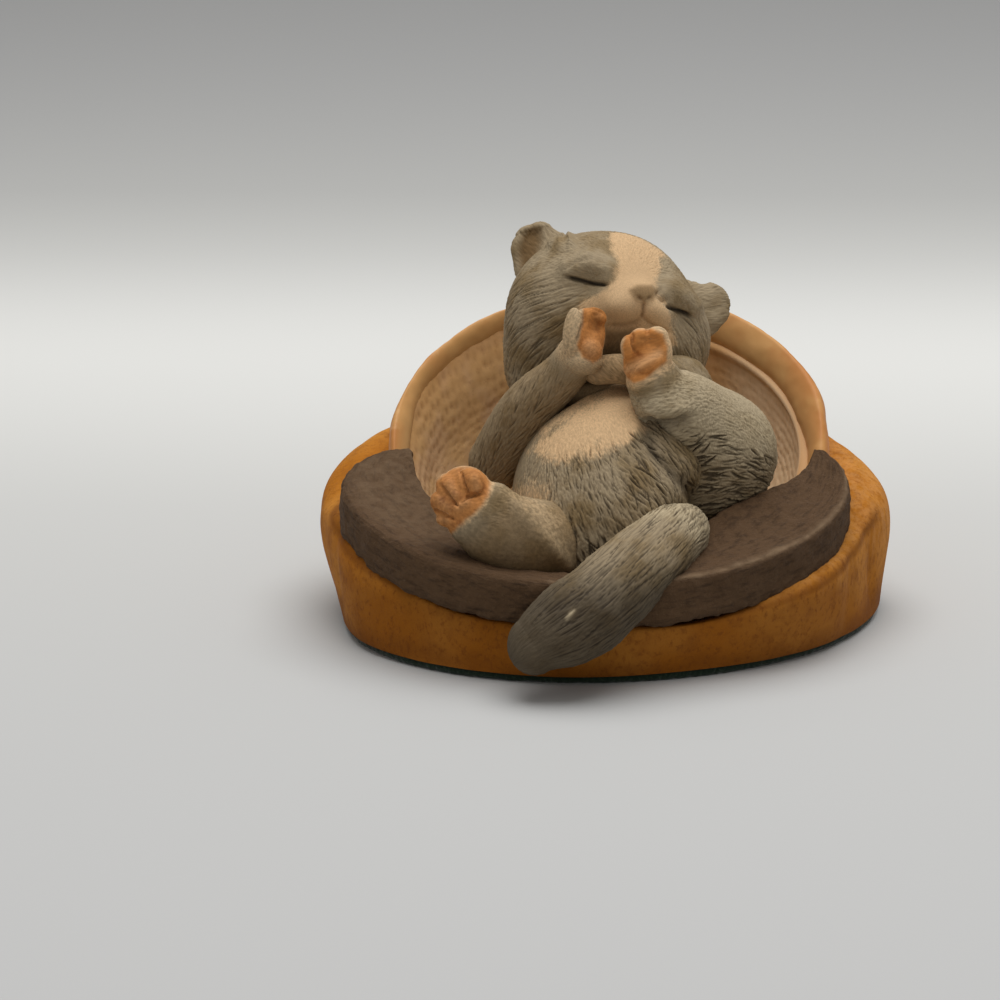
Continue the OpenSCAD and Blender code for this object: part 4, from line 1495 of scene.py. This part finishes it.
@dataclass
class Kitten:
    """The sleeping kitten, piece by piece. Sizes in millimetres, places from the lap."""

    cap: Cap
    coat: Material
    sight: Sight
    marks: Marks = field(default_factory=Marks)
    body_w: float = 27.0
    body_l: float = 30.0
    body_h: float = 29.0
    body_at: tuple = (2.2, -5.6, -4.4)
    head_w: float = 28.8
    head_d: float = 24.0
    head_h: float = 21.6
    head_at: tuple = (1.1, 9.5, 16.2)
    head_turn: tuple = (-27.0, 17.0, 8.0)
    muzzle_w: float = 9.0
    nose_reach: float = 15.2
    cheek_h: float = 1.2
    ruff: float = 3.4
    ear_w: float = 10.2
    ear_l: float = 10.0
    ear_lean: float = 2.2
    ear_reach: float = 15.7
    ear_t: float = 3.2
    ear_front: float = 0.5
    right_ear_up: float = 26.0
    left_ear_up: float = 19.0
    fore_leg_d: float = 7.4
    wrist_d: float = 5.6
    thigh_d: float = 16.6
    ankle_d: float = 7.6
    tail_w: float = 11.6
    tail_t: float = 8.4
    leg_face: tuple = (0.2, -0.9, 0.3)
    tail_face: tuple = (-0.1, -0.75, 0.65)
    toward_view: tuple = (-0.02, -0.83, 0.55)

    def limb(self, name: str, rows: list, widths: list, face: tuple, net: tuple) -> tuple[Clay, Array, Array]:
        """Draws a ball out into a round-ended limb.

        Args:
            name: name of the piece.
            rows: the limb's middle line, from the lap.
            widths: half width, or half width and half thickness, at each row.
            face: the way its thin side looks.
            net: number of points round it and along it.

        Returns:
            The clay, the angles round it and the lengths along it.
        """
        clay = Clay.ball(name, *net)
        turn, share = clay.net()
        pairs = [w if isinstance(w, tuple) else (w, w) for w in widths]
        stations = [[*(LAP + r), *w] for r, w in zip(rows, pairs)]
        clay.points, way = Spine(stations, face).skin(turn, share)
        clay.write()
        return clay, turn, way

    def facing(self, side: float, up: float) -> Array:
        """Direction on the head, in degrees to the kitten's left of the nose and above it."""
        s, u = math.radians(side), math.radians(up)
        return np.array([math.sin(s) * math.cos(u), -math.cos(s) * math.cos(u), math.sin(u)])

    def swellings(self) -> list:
        """Swellings of the face: side, up, height and spread."""
        muzzle = self.nose_reach - self.head_d / 2 - 2.0
        pad, cheek, ruff = self.muzzle_w, self.cheek_h, self.ruff
        return [(0, -4, muzzle, 22), (0, 1, 1.1, 7), (pad, -8, 1.7, 11), (-pad, -8, 1.7, 11),
                (0, -22, -0.8, 9), (30, 11, 0.9, 11), (-30, 11, 0.9, 11), (31, 0, -0.6, 8), (-31, 0, -0.6, 8),
                (64, -20, cheek / 2, 28), (-64, -20, cheek, 28), (-108, -50, ruff, 26),
                (-108, -64, ruff / 2, 20), (78, -42, ruff / 3, 20), (72, 32, -1.6, 32)]

    def head_reach(self, way: Array) -> Array:
        """Distance from the head's middle to its surface along directions in its frame."""
        total = reach(way, (0, 0, 0), (self.head_w / 2 - self.cheek_h, self.head_d / 2, self.head_h / 2))
        for side, up, height, spread in self.swellings():
            angle = np.degrees(np.arccos(np.clip(way @ self.facing(side, up), -1.0, 1.0)))
            total = total + height * bell(angle, spread)
        return total

    def body_reach(self, way: Array) -> Array:
        """Distance from the body's middle to its surface along directions."""
        w, l, h = self.body_w, self.body_l, self.body_h
        parts = [((0, 0, 0), (w / 2, l / 2, h / 2)),
                 ((w * -0.05, l * 0.3, h * 0.2), (w * 0.42, l * 0.36, h * 0.36)),
                 ((w * -0.11, l * 0.56, h * 0.22), (w * 0.46, l * 0.36, h * 0.3)),
                 ((0, l * -0.27, h * -0.08), (w * 0.4, l * 0.3, h * 0.36))]
        crisp = 9
        return sum(reach(way, c, r) ** crisp for c, r in parts) ** (1 / crisp)

    def build_torso(self) -> None:
        """Makes the body with its cream belly and carved flank."""
        clay = Clay.even_ball("torso", 7)
        view = np.array(self.toward_view)
        clay.refine(lambda p: unit(p) @ view > 0.30)
        way = unit(clay.points)
        clay.points = self.cap.rest(way * self.body_reach(way)[:, None] + LAP + self.body_at)
        clay.push(0.25 * clay.grain(5.0, 51))
        clay.push(-2.8 * ease(6.0, 12.0, clay.points[:, 0]) * ease(24.0, 18.0, clay.points[:, 2]))
        # Painted shadow over the chest under the arm, where the body is also pushed in.
        shade = self.sight.area(clay, self.marks.neck, 0.8)
        clay.push(-1.5 * shade)
        # The crease at the groin holds painted shade.
        self.sight.cut(clay, self.marks.groin, 0.8, 0.7, 0.5)
        fringe = 1.1 * clay.grain(1.8, 52) + 0.5 * clay.grain(0.7, 53)
        clay.lay(Mask.CREAM, self.sight.area(clay, self.marks.belly, 2.0, fringe))
        # Cream of the thigh, partly a painted highlight on its top face.
        clay.lay(Mask.CREAM, 0.55 * self.sight.area(clay, self.marks.thigh, 2.2, fringe))
        clay.lay(Mask.NOSE, shade)
        clay.lay(Mask.WASH, 0.45 * shade)

        def flow(p: Array) -> Array:
            """Hair runs down the belly and to the kitten's left, more so by the haunch."""
            lean = 0.30 + 0.50 * ease(-4.0, 9.0, p[:, 0])
            return np.column_stack([lean, np.full(len(p), -0.3), np.full(len(p), -0.8)])

        def flank(p: Array) -> Array:
            """The grey part that faces forward."""
            bare = np.maximum(self.sight.inside(p, self.marks.belly), self.sight.inside(p, self.marks.thigh))
            return ease(1.8, -0.6, bare) * ease(-6.0, -10.0, p[:, 1])

        def shaggy(p: Array) -> Array:
            """The lower part of the flank and what lies by the haunch."""
            return flank(p) * np.maximum(ease(20.0, 16.0, p[:, 2]), ease(1.0, 6.0, p[:, 0]))

        fur = Fur(clay, flow, 2.6)
        fur.carve(Strokes(0.60, (2.2, 4.2), 0.16, 0.40, 0.20, 0.06, 60), shaggy)
        fur.carve(Strokes(1.8, (1.6, 3.2), 0.13, 0.22, 0.20, 0.06, 61), flank)
        fur.carve(Strokes(5.5, (1.0, 2.4), 0.10, 0.12, 0.22, 0.06, 62), flank)
        fur.carve(Strokes(2.0, (0.6, 1.5), 0.11, 0.04, 0.25, 0.05, 63))
        fur.settle(0.24)
        clay.comb(flow)
        clay.finish("torso", Slot.COAT, self.coat)

    def build_head(self) -> None:
        """Makes the head: closed eyes, nose, whisker pads, blaze and long hair on the cheeks."""
        clay = Clay.even_ball("head", 7)
        axes = turning(self.head_turn)
        view = np.array(self.toward_view) @ axes
        clay.refine(lambda p: unit(p) @ view > 0.22)
        way = unit(clay.points)
        middle = LAP + self.head_at
        clay.points = (way * self.head_reach(way)[:, None]) @ axes.T + middle
        self.carve_face(clay)
        bridge = middle + axes @ (self.facing(-4, 8) * self.head_d / 2)

        def flow(p: Array) -> Array:
            """Hair runs away from the bridge of the nose, and hangs on the cheeks."""
            return unit(p - bridge) - np.outer(0.5 * ease(38.0, 30.0, p[:, 2]), UP)

        def angles(p: Array) -> tuple[Array, Array]:
            """Side and up of places on the head."""
            d = unit((p - middle) @ axes)
            side, up = np.arctan2(d[:, 0], -d[:, 1]), np.arcsin(np.clip(d[:, 2], -1.0, 1.0))
            return np.degrees(side), np.degrees(up)

        def cheeks(p: Array) -> Array:
            """The cheeks, outside the eyes and below them."""
            s, u = angles(p)
            return ease(26.0, 46.0, np.abs(s)) * ease(7.0, -5.0, u)

        def brow(p: Array) -> Array:
            """What isn't cheek or muzzle."""
            s, u = angles(p)
            return ease(-2.0, 12.0, u) * ease(10.0, 24.0, np.hypot(s, u - 2.0))

        fur = Fur(clay, flow, 4.2)
        fur.carve(Strokes(1.2, (3.5, 7.0), 0.13, 0.19, 0.10, 0.015, 73), cheeks)
        fur.carve(Strokes(4.5, (1.5, 3.6), 0.10, 0.10, 0.14, 0.03, 74), cheeks)
        fur.carve(Strokes(5.0, (0.7, 1.8), 0.10, 0.09, 0.25, 0.05, 75), brow)
        fur.settle()
        clay.run = unit(clay.points - bridge) * 11.0 + (clay.points - bridge) * 0.15
        clay.finish("head", Slot.COAT, self.coat)

    def carve_face(self, clay: Clay) -> None:
        """Carves and paints the sleeping face."""
        marks, sight = self.marks, self.sight
        for lid in marks.lids:
            sight.swell(clay, lid, 1.2, 1.00)
        # The lid folds, mouth, eyes, nostrils and lip are cut with dark paint and painted shade in them.
        for fold, deep in zip(marks.lid_folds, (0.40, 0.90)):
            sight.cut(clay, fold, 0.45, deep, 0.4 * deep)
        for tuft in marks.tufts:
            sight.swell(clay, tuft, 0.7, 0.8)
        for pad in marks.pads:
            sight.swell(clay, pad, 1.3, 0.55)
        for side in marks.mouth:
            sight.cut(clay, side, 0.36, 0.40, 0.22)
        for eye in marks.eyes:
            sight.cut(clay, eye, 0.25, 0.65, 0.95)
        tip = sight.area(clay, marks.nose, 0.5)
        clay.push(0.40 * tip)
        clay.lay(Mask.NOSE, 0.85 * tip)
        for hole in marks.nostrils:
            sight.cut(clay, hole, 0.22, 0.25, 0.35)
        sight.cut(clay, marks.lip, 0.22, 0.35, 0.45)
        fringe = 0.55 * clay.grain(2.2, 71) + 0.3 * clay.grain(0.8, 72)
        blaze = sight.area(clay, marks.blaze, 0.9, fringe)
        clay.lay(Mask.CREAM, blaze)
        # Painted shade that dims the top of the blaze, which faces the light.
        clay.lay(Mask.WASH, 0.12 * blaze * ease(36.0, 41.0, clay.points[:, 2]))
        # Painted shadow below the muzzle, between the paws.
        shade = sight.area(clay, marks.chin, 0.9)
        clay.lay(Mask.NOSE, 0.7 * shade)
        clay.lay(Mask.WASH, 0.35 * shade)

    def build_ear(self, node: str, mirror: float, up: float, grow: float, hollow: tuple) -> None:
        """Makes a blunt three-cornered ear.

        Args:
            node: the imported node.
            mirror: 1 for the kitten's left ear and -1 for its right.
            up: angle of the ear above the head's middle.
            grow: its size against the other ear's.
            hollow: outline of the hollow that the photographer sees in it, if any.
        """
        clay = Clay.ball(node, 140, 120)
        turn, share = clay.net()
        shape = ((1, 0, 0.48, 0.5), (0.5, 0.2, 0.47, 0.5), (0.25, 0.55, 0.37, 0.42), (0.1, 1, 0.24, 0.31))
        rows = [[self.ear_reach - self.ear_l * s, self.ear_front, self.ear_lean * c, grow * self.ear_w * w,
                 self.ear_t * t] for s, c, w, t in shape]
        leaf, _ = Spine(rows, (0.0, -1.0, 0.0)).skin(turn, share)
        c, s = math.cos(math.radians(up)), math.sin(math.radians(up))
        lean = np.array([[c, 0.0, s], [0.0, 1.0, 0.0], [-s, 0.0, c]])
        middle = LAP + self.head_at
        clay.points = ((leaf @ lean) * [mirror, 1.0, 1.0]) @ turning(self.head_turn).T + middle
        if mirror < 0.0:
            clay.flip()
        clay.push(0.18 * clay.grain(1.6, 80))
        if hollow:
            # Brown in the ear's hollow, with painted shade.
            dish = self.sight.area(clay, hollow, 0.6)
            clay.push(-0.9 * dish)
            clay.lay(Mask.NOSE, dish)
            clay.lay(Mask.WASH, 0.22 * dish)

        def flow(p: Array) -> Array:
            """Hair runs away from the head."""
            return p - middle

        fur = Fur(clay, flow)
        fur.carve(Strokes(2.2, (0.8, 2.2), 0.12, 0.09, 0.25, 0.05, 81))
        fur.settle()
        clay.comb(flow)
        clay.finish(node, Slot.COAT, self.coat)

    def carve_forepaw(self, clay: Clay, paw: Paw) -> None:
        """Carves and paints the palm of the right forepaw."""
        marks, sight = self.marks, self.sight
        sight.swell(clay, marks.fore_hollow, 0.9, -0.75)
        sight.swell(clay, marks.fore_pad, 1.3, 0.30)
        sight.cut(clay, marks.fore_crease, 0.26, 0.35, 0.45)
        rough = 0.12 * clay.grain(0.8, 91)
        clay.lay(Mask.SOLE, sight.area(clay, marks.fore_sole, 0.30, rough))
        clay.wipe(Mask.SOLE, 0.28 * sight.spot(clay, marks.fore_pad, 1.2))
        clay.lay(Mask.WASH, 0.12 * sight.area(clay, marks.fore_sole, 0.30))
        # Painted shade in the palm's hollow.
        clay.lay(Mask.WASH, 0.38 * sight.spot(clay, marks.fore_hollow, 0.8))
        q = paw.far(clay.points)
        clay.lay(Mask.CREAM, 0.55 * ease(6.0, 3.5, q))
        clay.lay(Mask.DUST, 0.25 * ease(7.0, 4.0, q))

    def build_right_foreleg(self) -> None:
        """Makes the folded right foreleg with its mitten of a paw."""
        d, wrist = self.fore_leg_d, self.wrist_d
        elbow, shoulder = (-13.2, 0.2, -0.4), (-7.6, 7.4, 5.0)
        arm, _, _ = self.limb("forearm", [elbow, (-9.4, -3, 7.2), (-4.8, -5, 12.4), (-3, -6.4, 15.4)],
                              [d / 2, d * 0.47, wrist / 2, wrist * 0.46], self.leg_face, (48, 64))
        upper, _, _ = self.limb("upper_arm", [elbow, (-10.4, 3.8, 2.3), shoulder],
                                [d * 0.47, d * 0.51, d * 0.55], self.leg_face, (48, 48))
        paw = Paw(LAP + (-2.2, -7.3, 17.7), (-7, 9, 28), (
            Lump((0.3, 0.5, 0.0), (2.7, 1.7, 3.5)), Lump((-1.9, -0.25, 0.3), (1.15, 1.5, 3.2)),
            Lump((1.0, 0.1, 2.3), (1.8, 1.2, 1.35)), Lump((0.3, -1.1, -1.9), (1.6, 1.0, 1.6)),
            Lump((0.1, -0.1, -3.0), (2.4, 2.0, 1.8))))
        clay = fuse("right_foreleg", [arm.obj, upper.obj, *paw.model()], 0.212, 3)
        clay.refine(lambda p: p[:, 1] < 4.0)
        clay.points = self.cap.rest(clay.points)
        self.carve_forepaw(clay, paw)

        def arms(p: Array) -> Array:
            """The arm without the paw."""
            return ease(3.5, 6.5, paw.far(p))

        flow = steady((-0.45, -0.2, -0.8))
        fur = Fur(clay, flow)
        fur.carve(Strokes(0.9, (1.6, 3.2), 0.15, 0.17, 0.16, 0.05, 92), arms)
        fur.carve(Strokes(4.5, (1.0, 2.4), 0.10, 0.10, 0.2, 0.05, 93), arms)
        fur.settle()
        clay.lay(Mask.NOSE, 0.35 * arms(clay.points))
        clay.comb(flow, mix(1.0, 0.16, arms(clay.points)))
        clay.finish("right_foreleg", Slot.COAT, self.coat)

    def build_left_foreleg(self) -> None:
        """Makes the left foreleg that reaches behind the raised foot."""
        d, wrist = self.fore_leg_d, self.wrist_d
        rows = [(10, 3, 7.6), (9.8, -1, 10), (6.4, -4.8, 12.2), (2.4, -6.3, 13.3), (-0.7, -5.6, 12.9)]
        widths = [d * 0.55, d / 2, wrist * 0.42, wrist * 0.34, wrist * 0.32]
        clay, _, _ = self.limb("left_foreleg", rows, widths, self.leg_face, (128, 200))
        clay.points = self.cap.rest(clay.points)
        clay.push(0.15 * clay.grain(3.0, 101))
        end = ease(7.0, 3.5, clay.points[:, 0])
        clay.lay(Mask.CREAM, 0.40 * end)
        clay.lay(Mask.NOSE, 0.40 * end)
        flow = steady((0.6, -0.2, -0.6))
        fur = Fur(clay, flow)
        fur.carve(Strokes(3.5, (1.0, 2.6), 0.12, 0.13, 0.25, 0.05, 102), lambda p: ease(4.5, 6.5, p[:, 0]))
        fur.settle()
        clay.comb(flow)
        clay.finish("left_foreleg", Slot.COAT, self.coat)

    def carve_resting_foot(self, clay: Clay, paw: Paw) -> None:
        """Carves and paints the sole of the foot on the visor, and the thigh behind it."""
        marks, sight = self.marks, self.sight
        sight.swell(clay, marks.thigh_ridge, 1.1, 0.65)
        for pad in marks.rest_pads:
            sight.swell(clay, pad, 0.75, 0.55)
        for crease in marks.rest_creases:
            sight.cut(clay, crease, 0.22, 0.45, 0.30)
        q = paw.far(clay.points)
        rough = 0.14 * clay.grain(0.8, 111)
        clay.lay(Mask.SOLE, 0.95 * sight.area(clay, marks.rest_sole, 0.35, rough))
        for pad in marks.rest_pads:
            clay.wipe(Mask.SOLE, 0.18 * sight.spot(clay, pad, 0.6))
        clay.lay(Mask.CREAM, 0.6 * ease(5.0, 4.2, q))
        clay.lay(Mask.NOSE, 0.55 * ease(4.4, 6.5, q))
        # Painted shade on the front of the shin.
        clay.lay(Mask.WASH, 0.16 * sight.area(clay, marks.shin, 2.0))
        clay.lay(Mask.WASH, 0.10 * sight.area(clay, marks.rest_sole, 0.35))
        # Painted highlight on the top of the thigh, where light falls.
        lit = sight.area(clay, marks.thigh, 2.0, 0.6 * clay.grain(1.8, 113))
        clay.lay(Mask.CREAM, 0.42 * lit)
        clay.lay(Mask.DUST, 0.35 * lit)
        clay.wipe(Mask.NOSE, 0.5 * lit)

    def build_right_hind_leg(self) -> None:
        """Makes the smooth right hind leg, with its foot lying on the visor."""
        thigh, ankle = self.thigh_d, self.ankle_d
        rows = [(-4, -12, -7.6), (-7.5, -18.5, -5.9), (-11.7, -21.2, -3.6), (-14.7, -22, -1.1)]
        leg, _, _ = self.limb("hind", rows, [thigh * 0.34, thigh * 0.34, ankle * 0.66, ankle * 0.56],
                              (0.1, -0.5, 0.9), (64, 80))
        paw = Paw(LAP + (-16.8, -22.0, 0.9), (-14, -10, -30), (
            Lump((0.0, 0.4, -0.1), (4.0, 2.8, 4.1)), Lump((1.6, -1.0, 1.6), (1.9, 1.3, 2.1)),
            Lump((-1.2, -1.2, 1.3), (1.5, 1.2, 2.0), (0, -42, 0)),
            Lump((-2.0, -1.3, -0.6), (1.4, 1.1, 1.8), (0, -60, 0)),
            Lump((-1.3, -0.8, -2.3), (1.4, 0.9, 1.0))))
        clay = fuse("right_hind_leg", [leg.obj, *paw.model()], 0.20, 4)
        clay.refine(lambda p: paw.far(p) < 6.5)
        clay.points = self.cap.rest(clay.points)
        self.carve_resting_foot(clay, paw)
        fur = Fur(clay, steady((-0.9, -0.3, 0.3)))
        fur.carve(Strokes(1.5, (0.8, 2.0), 0.13, 0.04, 0.3, 0.05, 112))
        fur.settle()
        clay.run = 0.6 * clay.points
        clay.finish("right_hind_leg", Slot.COAT, self.coat)

    def carve_raised_foot(self, clay: Clay, paw: Paw) -> None:
        """Carves and paints the sole of the raised foot, and the fold of its hock."""
        marks, sight = self.marks, self.sight
        sight.swell(clay, marks.raised_hollow, 0.8, -0.40)
        sight.swell(clay, marks.raised_ridge, 0.7, 0.25)
        for crease, deep in zip(marks.raised_creases, (0.38, 0.20)):
            sight.cut(clay, crease, 0.24, deep, deep)
        rough = 0.12 * clay.grain(0.8, 121)
        clay.lay(Mask.SOLE, sight.area(clay, marks.raised_sole, 0.30, rough))
        # Painted highlight along the ridge of the sole.
        clay.wipe(Mask.SOLE, 0.40 * sight.spot(clay, marks.raised_ridge, 0.7))
        # Painted shade in the sole's hollow.
        clay.lay(Mask.WASH, 0.20 * sight.spot(clay, marks.raised_hollow, 0.6))
        q, foot = paw.local(clay.points), paw.far(clay.points)
        clay.lay(Mask.CREAM, 0.65 * ease(5.0, 3.8, foot) * ease(-3.6, -2.0, q[:, 2] - 0.5 * q[:, 0]))
        sight.swell(clay, marks.hock, 1.5, 1.00)
        # Painted shadow in the fold under the hock.
        sight.cut(clay, marks.hock_fold, 0.7, 1.10, 0.42)
        clay.lay(Mask.DUST, 0.7 * ease(3.8, 5.5, foot) * ease(20.0, 27.0, clay.points[:, 2]))

    def build_left_hind_leg(self) -> None:
        """Makes the haunch with its deep carved fur, and the raised foot."""
        thigh, ankle = self.thigh_d, self.ankle_d
        rows = [(11.5, -5, -1.5), (14.7, -6, 2.8), (11.2, -8.4, 7.8), (7.6, -10, 10.8), (6.2, -10.6, 13)]
        widths = [thigh * 0.40, thigh * 0.43, ankle * 0.68, ankle * 0.54, ankle * 0.44]
        leg, _, _ = self.limb("haunch", rows, widths, self.leg_face, (80, 96))
        paw = Paw(LAP + (5.4, -11.6, 16.0), (-8, -4, 6), (
            Lump((0.1, 0.6, -0.2), (3.0, 1.9, 3.6)), Lump((-2.2, -0.4, 1.5), (1.0, 1.15, 1.6)),
            Lump((-0.6, -0.1, 2.5), (1.4, 1.4, 1.3)), Lump((1.35, -0.1, 2.5), (1.5, 1.45, 1.35)),
            Lump((2.2, 0.0, 0.7), (1.0, 1.4, 2.2)), Lump((0.1, -1.2, -0.9), (2.1, 0.9, 0.9), (0, -25, 0)),
            Lump((-0.6, -0.6, -2.7), (1.8, 1.4, 1.7))))
        clay = fuse("left_hind_leg", [leg.obj, *paw.model()], 0.24, 3)
        view = np.array(self.toward_view)
        heart = LAP + (12.0, -2.0, 2.0)
        clay.refine(lambda p: (p - heart) @ view > 0.5)
        clay.points = self.cap.rest(clay.points)
        self.carve_raised_foot(clay, paw)

        def leg_only(p: Array) -> Array:
            """The leg without the foot."""
            return ease(3.6, 5.0, paw.far(p))

        def low(p: Array) -> Array:
            """The lower part of the haunch and its right side."""
            return leg_only(p) * np.maximum(ease(26.0, 22.0, p[:, 2]), ease(13.0, 17.0, p[:, 0]))

        def high(p: Array) -> Array:
            """The upper half of the haunch and the ankle."""
            return leg_only(p) * ease(22.0, 27.0, p[:, 2])

        def sweep(p: Array) -> Array:
            """Hair sweeps over the haunch to the kitten's left, and down at its outside."""
            fall = ease(11.0, 20.0, p[:, 0])
            return np.column_stack([np.full(len(p), 0.9), np.full(len(p), -0.1), 0.30 - 0.75 * fall])

        def shaggy(p: Array) -> Array:
            """The deep carved part, low on the haunch and towards the belly."""
            return leg_only(p) * ease(-1.6, 0.6, self.sight.inside(p, self.marks.shag))

        fur = Fur(clay, sweep, 2.8)
        fur.carve(Strokes(0.80, (2.0, 4.2), 0.15, 0.48, 0.24, 0.05, 122), shaggy)
        fur.carve(Strokes(2.2, (1.4, 2.8), 0.12, 0.24, 0.24, 0.05, 123), shaggy)
        fur.carve(Strokes(5.0, (0.9, 2.2), 0.10, 0.13, 0.26, 0.05, 124), low)
        fur.carve(Strokes(5.0, (0.8, 2.0), 0.11, 0.11, 0.32, 0.05, 125), high)
        fur.settle(0.28)
        clay.comb(sweep)
        clay.finish("left_hind_leg", Slot.COAT, self.coat)

    def build_tail(self) -> None:
        """Makes the broad tail that hangs over the visor, with its long grooves."""
        w, t = self.tail_w / 2, self.tail_t / 2
        rows = [(9.1, -15, -5.1), (8.5, -21, -4), (5.2, -27, -5.3), (-0.4, -32.5, -9.1), (-4.1, -34.5, -11.2),
                (-7.9, -35.4, -13.5)]
        shares = [(0.72, 0.85), (0.74, 0.92), (0.82, 1.0), (0.92, 1.0), (0.88, 0.92), (0.62, 0.72)]
        halves = [(a * w, b * t) for a, b in shares]
        clay, turn, way = self.limb("tail", rows, halves, self.tail_face, (210, 400))
        clay.push(0.25 * clay.grain(3.5, 131))
        line = LAP + np.array(rows)

        def flow(p: Array) -> Array:
            """Hair runs along the tail."""
            steps = np.linalg.norm(p[:, None] - line[None], axis=2)
            spot = np.clip(steps.argmin(axis=1), 1, len(line) - 2)
            return line[spot + 1] - line[spot - 1]

        def root(p: Array) -> Array:
            """The tufted root of the tail."""
            return ease(-25.0, -22.0, p[:, 1])

        def hairy(p: Array) -> Array:
            """The tail without its blunt tip."""
            return ease(-1.5, 1.5, np.linalg.norm(p - line[-1], axis=1) - t)

        fur = Fur(clay, flow, 5.2)
        fur.carve(Strokes(0.9, (5.0, 9.0), 0.12, 0.20, 0.08, 0.012, 132), hairy)
        fur.carve(Strokes(2.0, (1.6, 3.2), 0.12, 0.18, 0.26, 0.05, 133), root)
        fur.carve(Strokes(3.0, (3.0, 6.0), 0.10, 0.13, 0.10, 0.02, 134), hairy)
        fur.carve(Strokes(5.5, (1.6, 3.4), 0.09, 0.09, 0.13, 0.02, 135))
        fur.settle(0.20)
        chip = self.sight.spot(clay, self.marks.chip, 0.25)
        clay.lay(Mask.DUST, np.maximum(chip, 0.95 * ease(-28.0, -23.0, clay.points[:, 1])))
        # Darker towards the bottom of the tail: dark paint and painted shade where it hangs low.
        clay.lay(Mask.WASH, 0.74 * ease(18.0, 11.5, clay.points[:, 2]) * (1.0 - chip))
        clay.run = np.column_stack([way * 0.16, np.cos(turn) * w, np.sin(turn) * t])
        clay.finish("tail", Slot.COAT, self.coat)

    def build(self) -> None:
        """Makes every piece of the kitten."""
        self.build_torso()
        self.build_head()
        self.build_ear("right_ear", -1.0, self.right_ear_up, 1.0, self.marks.ear)
        self.build_ear("left_ear", 1.0, self.left_ear_up, 0.88, ())
        self.build_right_foreleg()
        self.build_left_foreleg()
        self.build_right_hind_leg()
        self.build_left_hind_leg()
        self.build_tail()


@dataclass
class Studio:
    """Pale floor with painted light and shade, soft light from above and the camera. Sizes in metres."""

    sight: Sight
    floor_size: float = 4.0
    key_at: tuple = (0.05, 0.07, 0.66)
    key_size: float = 0.80
    key_power: float = 4.6
    sky: float = 0.40
    sky_tint: tuple = (1.0, 0.99, 0.97)
    floor_tint: float = 0.97
    nearest: float = 0.01
    # Painted light and shade on the floor: tones at places from front to back.
    floor_painted_light: tuple = ((-0.20, 0.50), (0.0, 0.53), (0.11, 0.70), (0.18, 0.66), (0.25, 0.52), (0.33, 0.42),
                          (0.5, 0.36))

    def build(self) -> None:
        """Adds the floor, the lights and the camera."""
        self.build_floor()
        self.build_light()
        self.build_camera()

    def build_floor(self) -> None:
        """Adds the pale floor, with painted light and shade: lightest just behind the ornament, darker in
        front and further back.
        """
        deselect()
        bpy.ops.mesh.primitive_plane_add(size=self.floor_size)
        floor = bpy.context.object
        floor.name = "floor"
        g = Graph("floor_paper", 0.9, 0.1)
        axes = g.tree.nodes.new("ShaderNodeSeparateXYZ")
        g.put(axes.inputs["Vector"], g.place)
        low, high = self.floor_painted_light[0][0], self.floor_painted_light[-1][0]
        ramp = g.tree.nodes.new("ShaderNodeValToRGB")
        ramp.color_ramp.interpolation = "B_SPLINE"
        g.put(ramp.inputs["Fac"], g.span(axes.outputs["Y"], low, high))
        stops = ramp.color_ramp.elements
        for place, tone in self.floor_painted_light[1:-1]:
            stops.new((place - low) / (high - low)).color = (tone, tone, tone * self.floor_tint, 1.0)
        stops[0].color = (*[self.floor_painted_light[0][1]] * 3, 1.0)
        stops[-1].color = (*[self.floor_painted_light[-1][1]] * 3, 1.0)
        floor.data.materials.append(g.colour(ramp.outputs["Color"]))
        floor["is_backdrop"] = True

    def build_light(self) -> None:
        """Adds a broad lamp above and an even sky."""
        lamp = bpy.data.lights.new("key", "AREA")
        lamp.shape = "DISK"
        lamp.size = self.key_size
        lamp.energy = self.key_power
        key = bpy.data.objects.new("key", lamp)
        key.location = self.key_at
        key.rotation_euler = (-Vector(self.key_at)).to_track_quat("-Z", "Y").to_euler()
        bpy.context.scene.collection.objects.link(key)
        world = bpy.data.worlds.new("sky")
        world.use_nodes = True
        sky = world.node_tree.nodes["Background"]
        sky.inputs["Color"].default_value = (*self.sky_tint, 1.0)
        sky.inputs["Strength"].default_value = self.sky
        bpy.context.scene.world = world

    def build_camera(self) -> None:
        """Adds the camera at the photograph's viewing angle."""
        data = bpy.data.cameras.new("camera")
        data.sensor_fit = "HORIZONTAL"
        data.angle = math.radians(self.sight.angle)
        data.clip_start = self.nearest
        camera = bpy.data.objects.new("camera", data)
        camera.location = [c * MM for c in self.sight.at]
        camera.rotation_euler = [math.radians(d) for d in self.sight.turn]
        bpy.context.scene.collection.objects.link(camera)
        bpy.context.scene.camera = camera


def corners(box: tuple) -> list:
    """A box's two corners as plain lists of numbers."""
    return [[float(v) for v in corner] for corner in box]


def main() -> None:
    """Builds every piece in order, and measures the sizes."""
    logging.basicConfig(level=logging.INFO, format="%(message)s")
    cad_box = corners(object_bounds())
    bpy.context.scene.view_settings.view_transform = "Standard"
    cap = Cap()
    cap.build_felt(FeltCloth().material())
    cap.build_crown(CrownPaint().material())
    cap.build_lining(LiningPaint().material())
    cap.build_binding(BindingPaint().material())
    cap.build_visor(VisorPaint().material())
    sight = Sight()
    Kitten(cap, CoatPaint().material(), sight).build()
    Studio(sight).build()
    {"cad": cad_box, "visual": corners(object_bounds())}


if __name__ == "__main__":
    main()
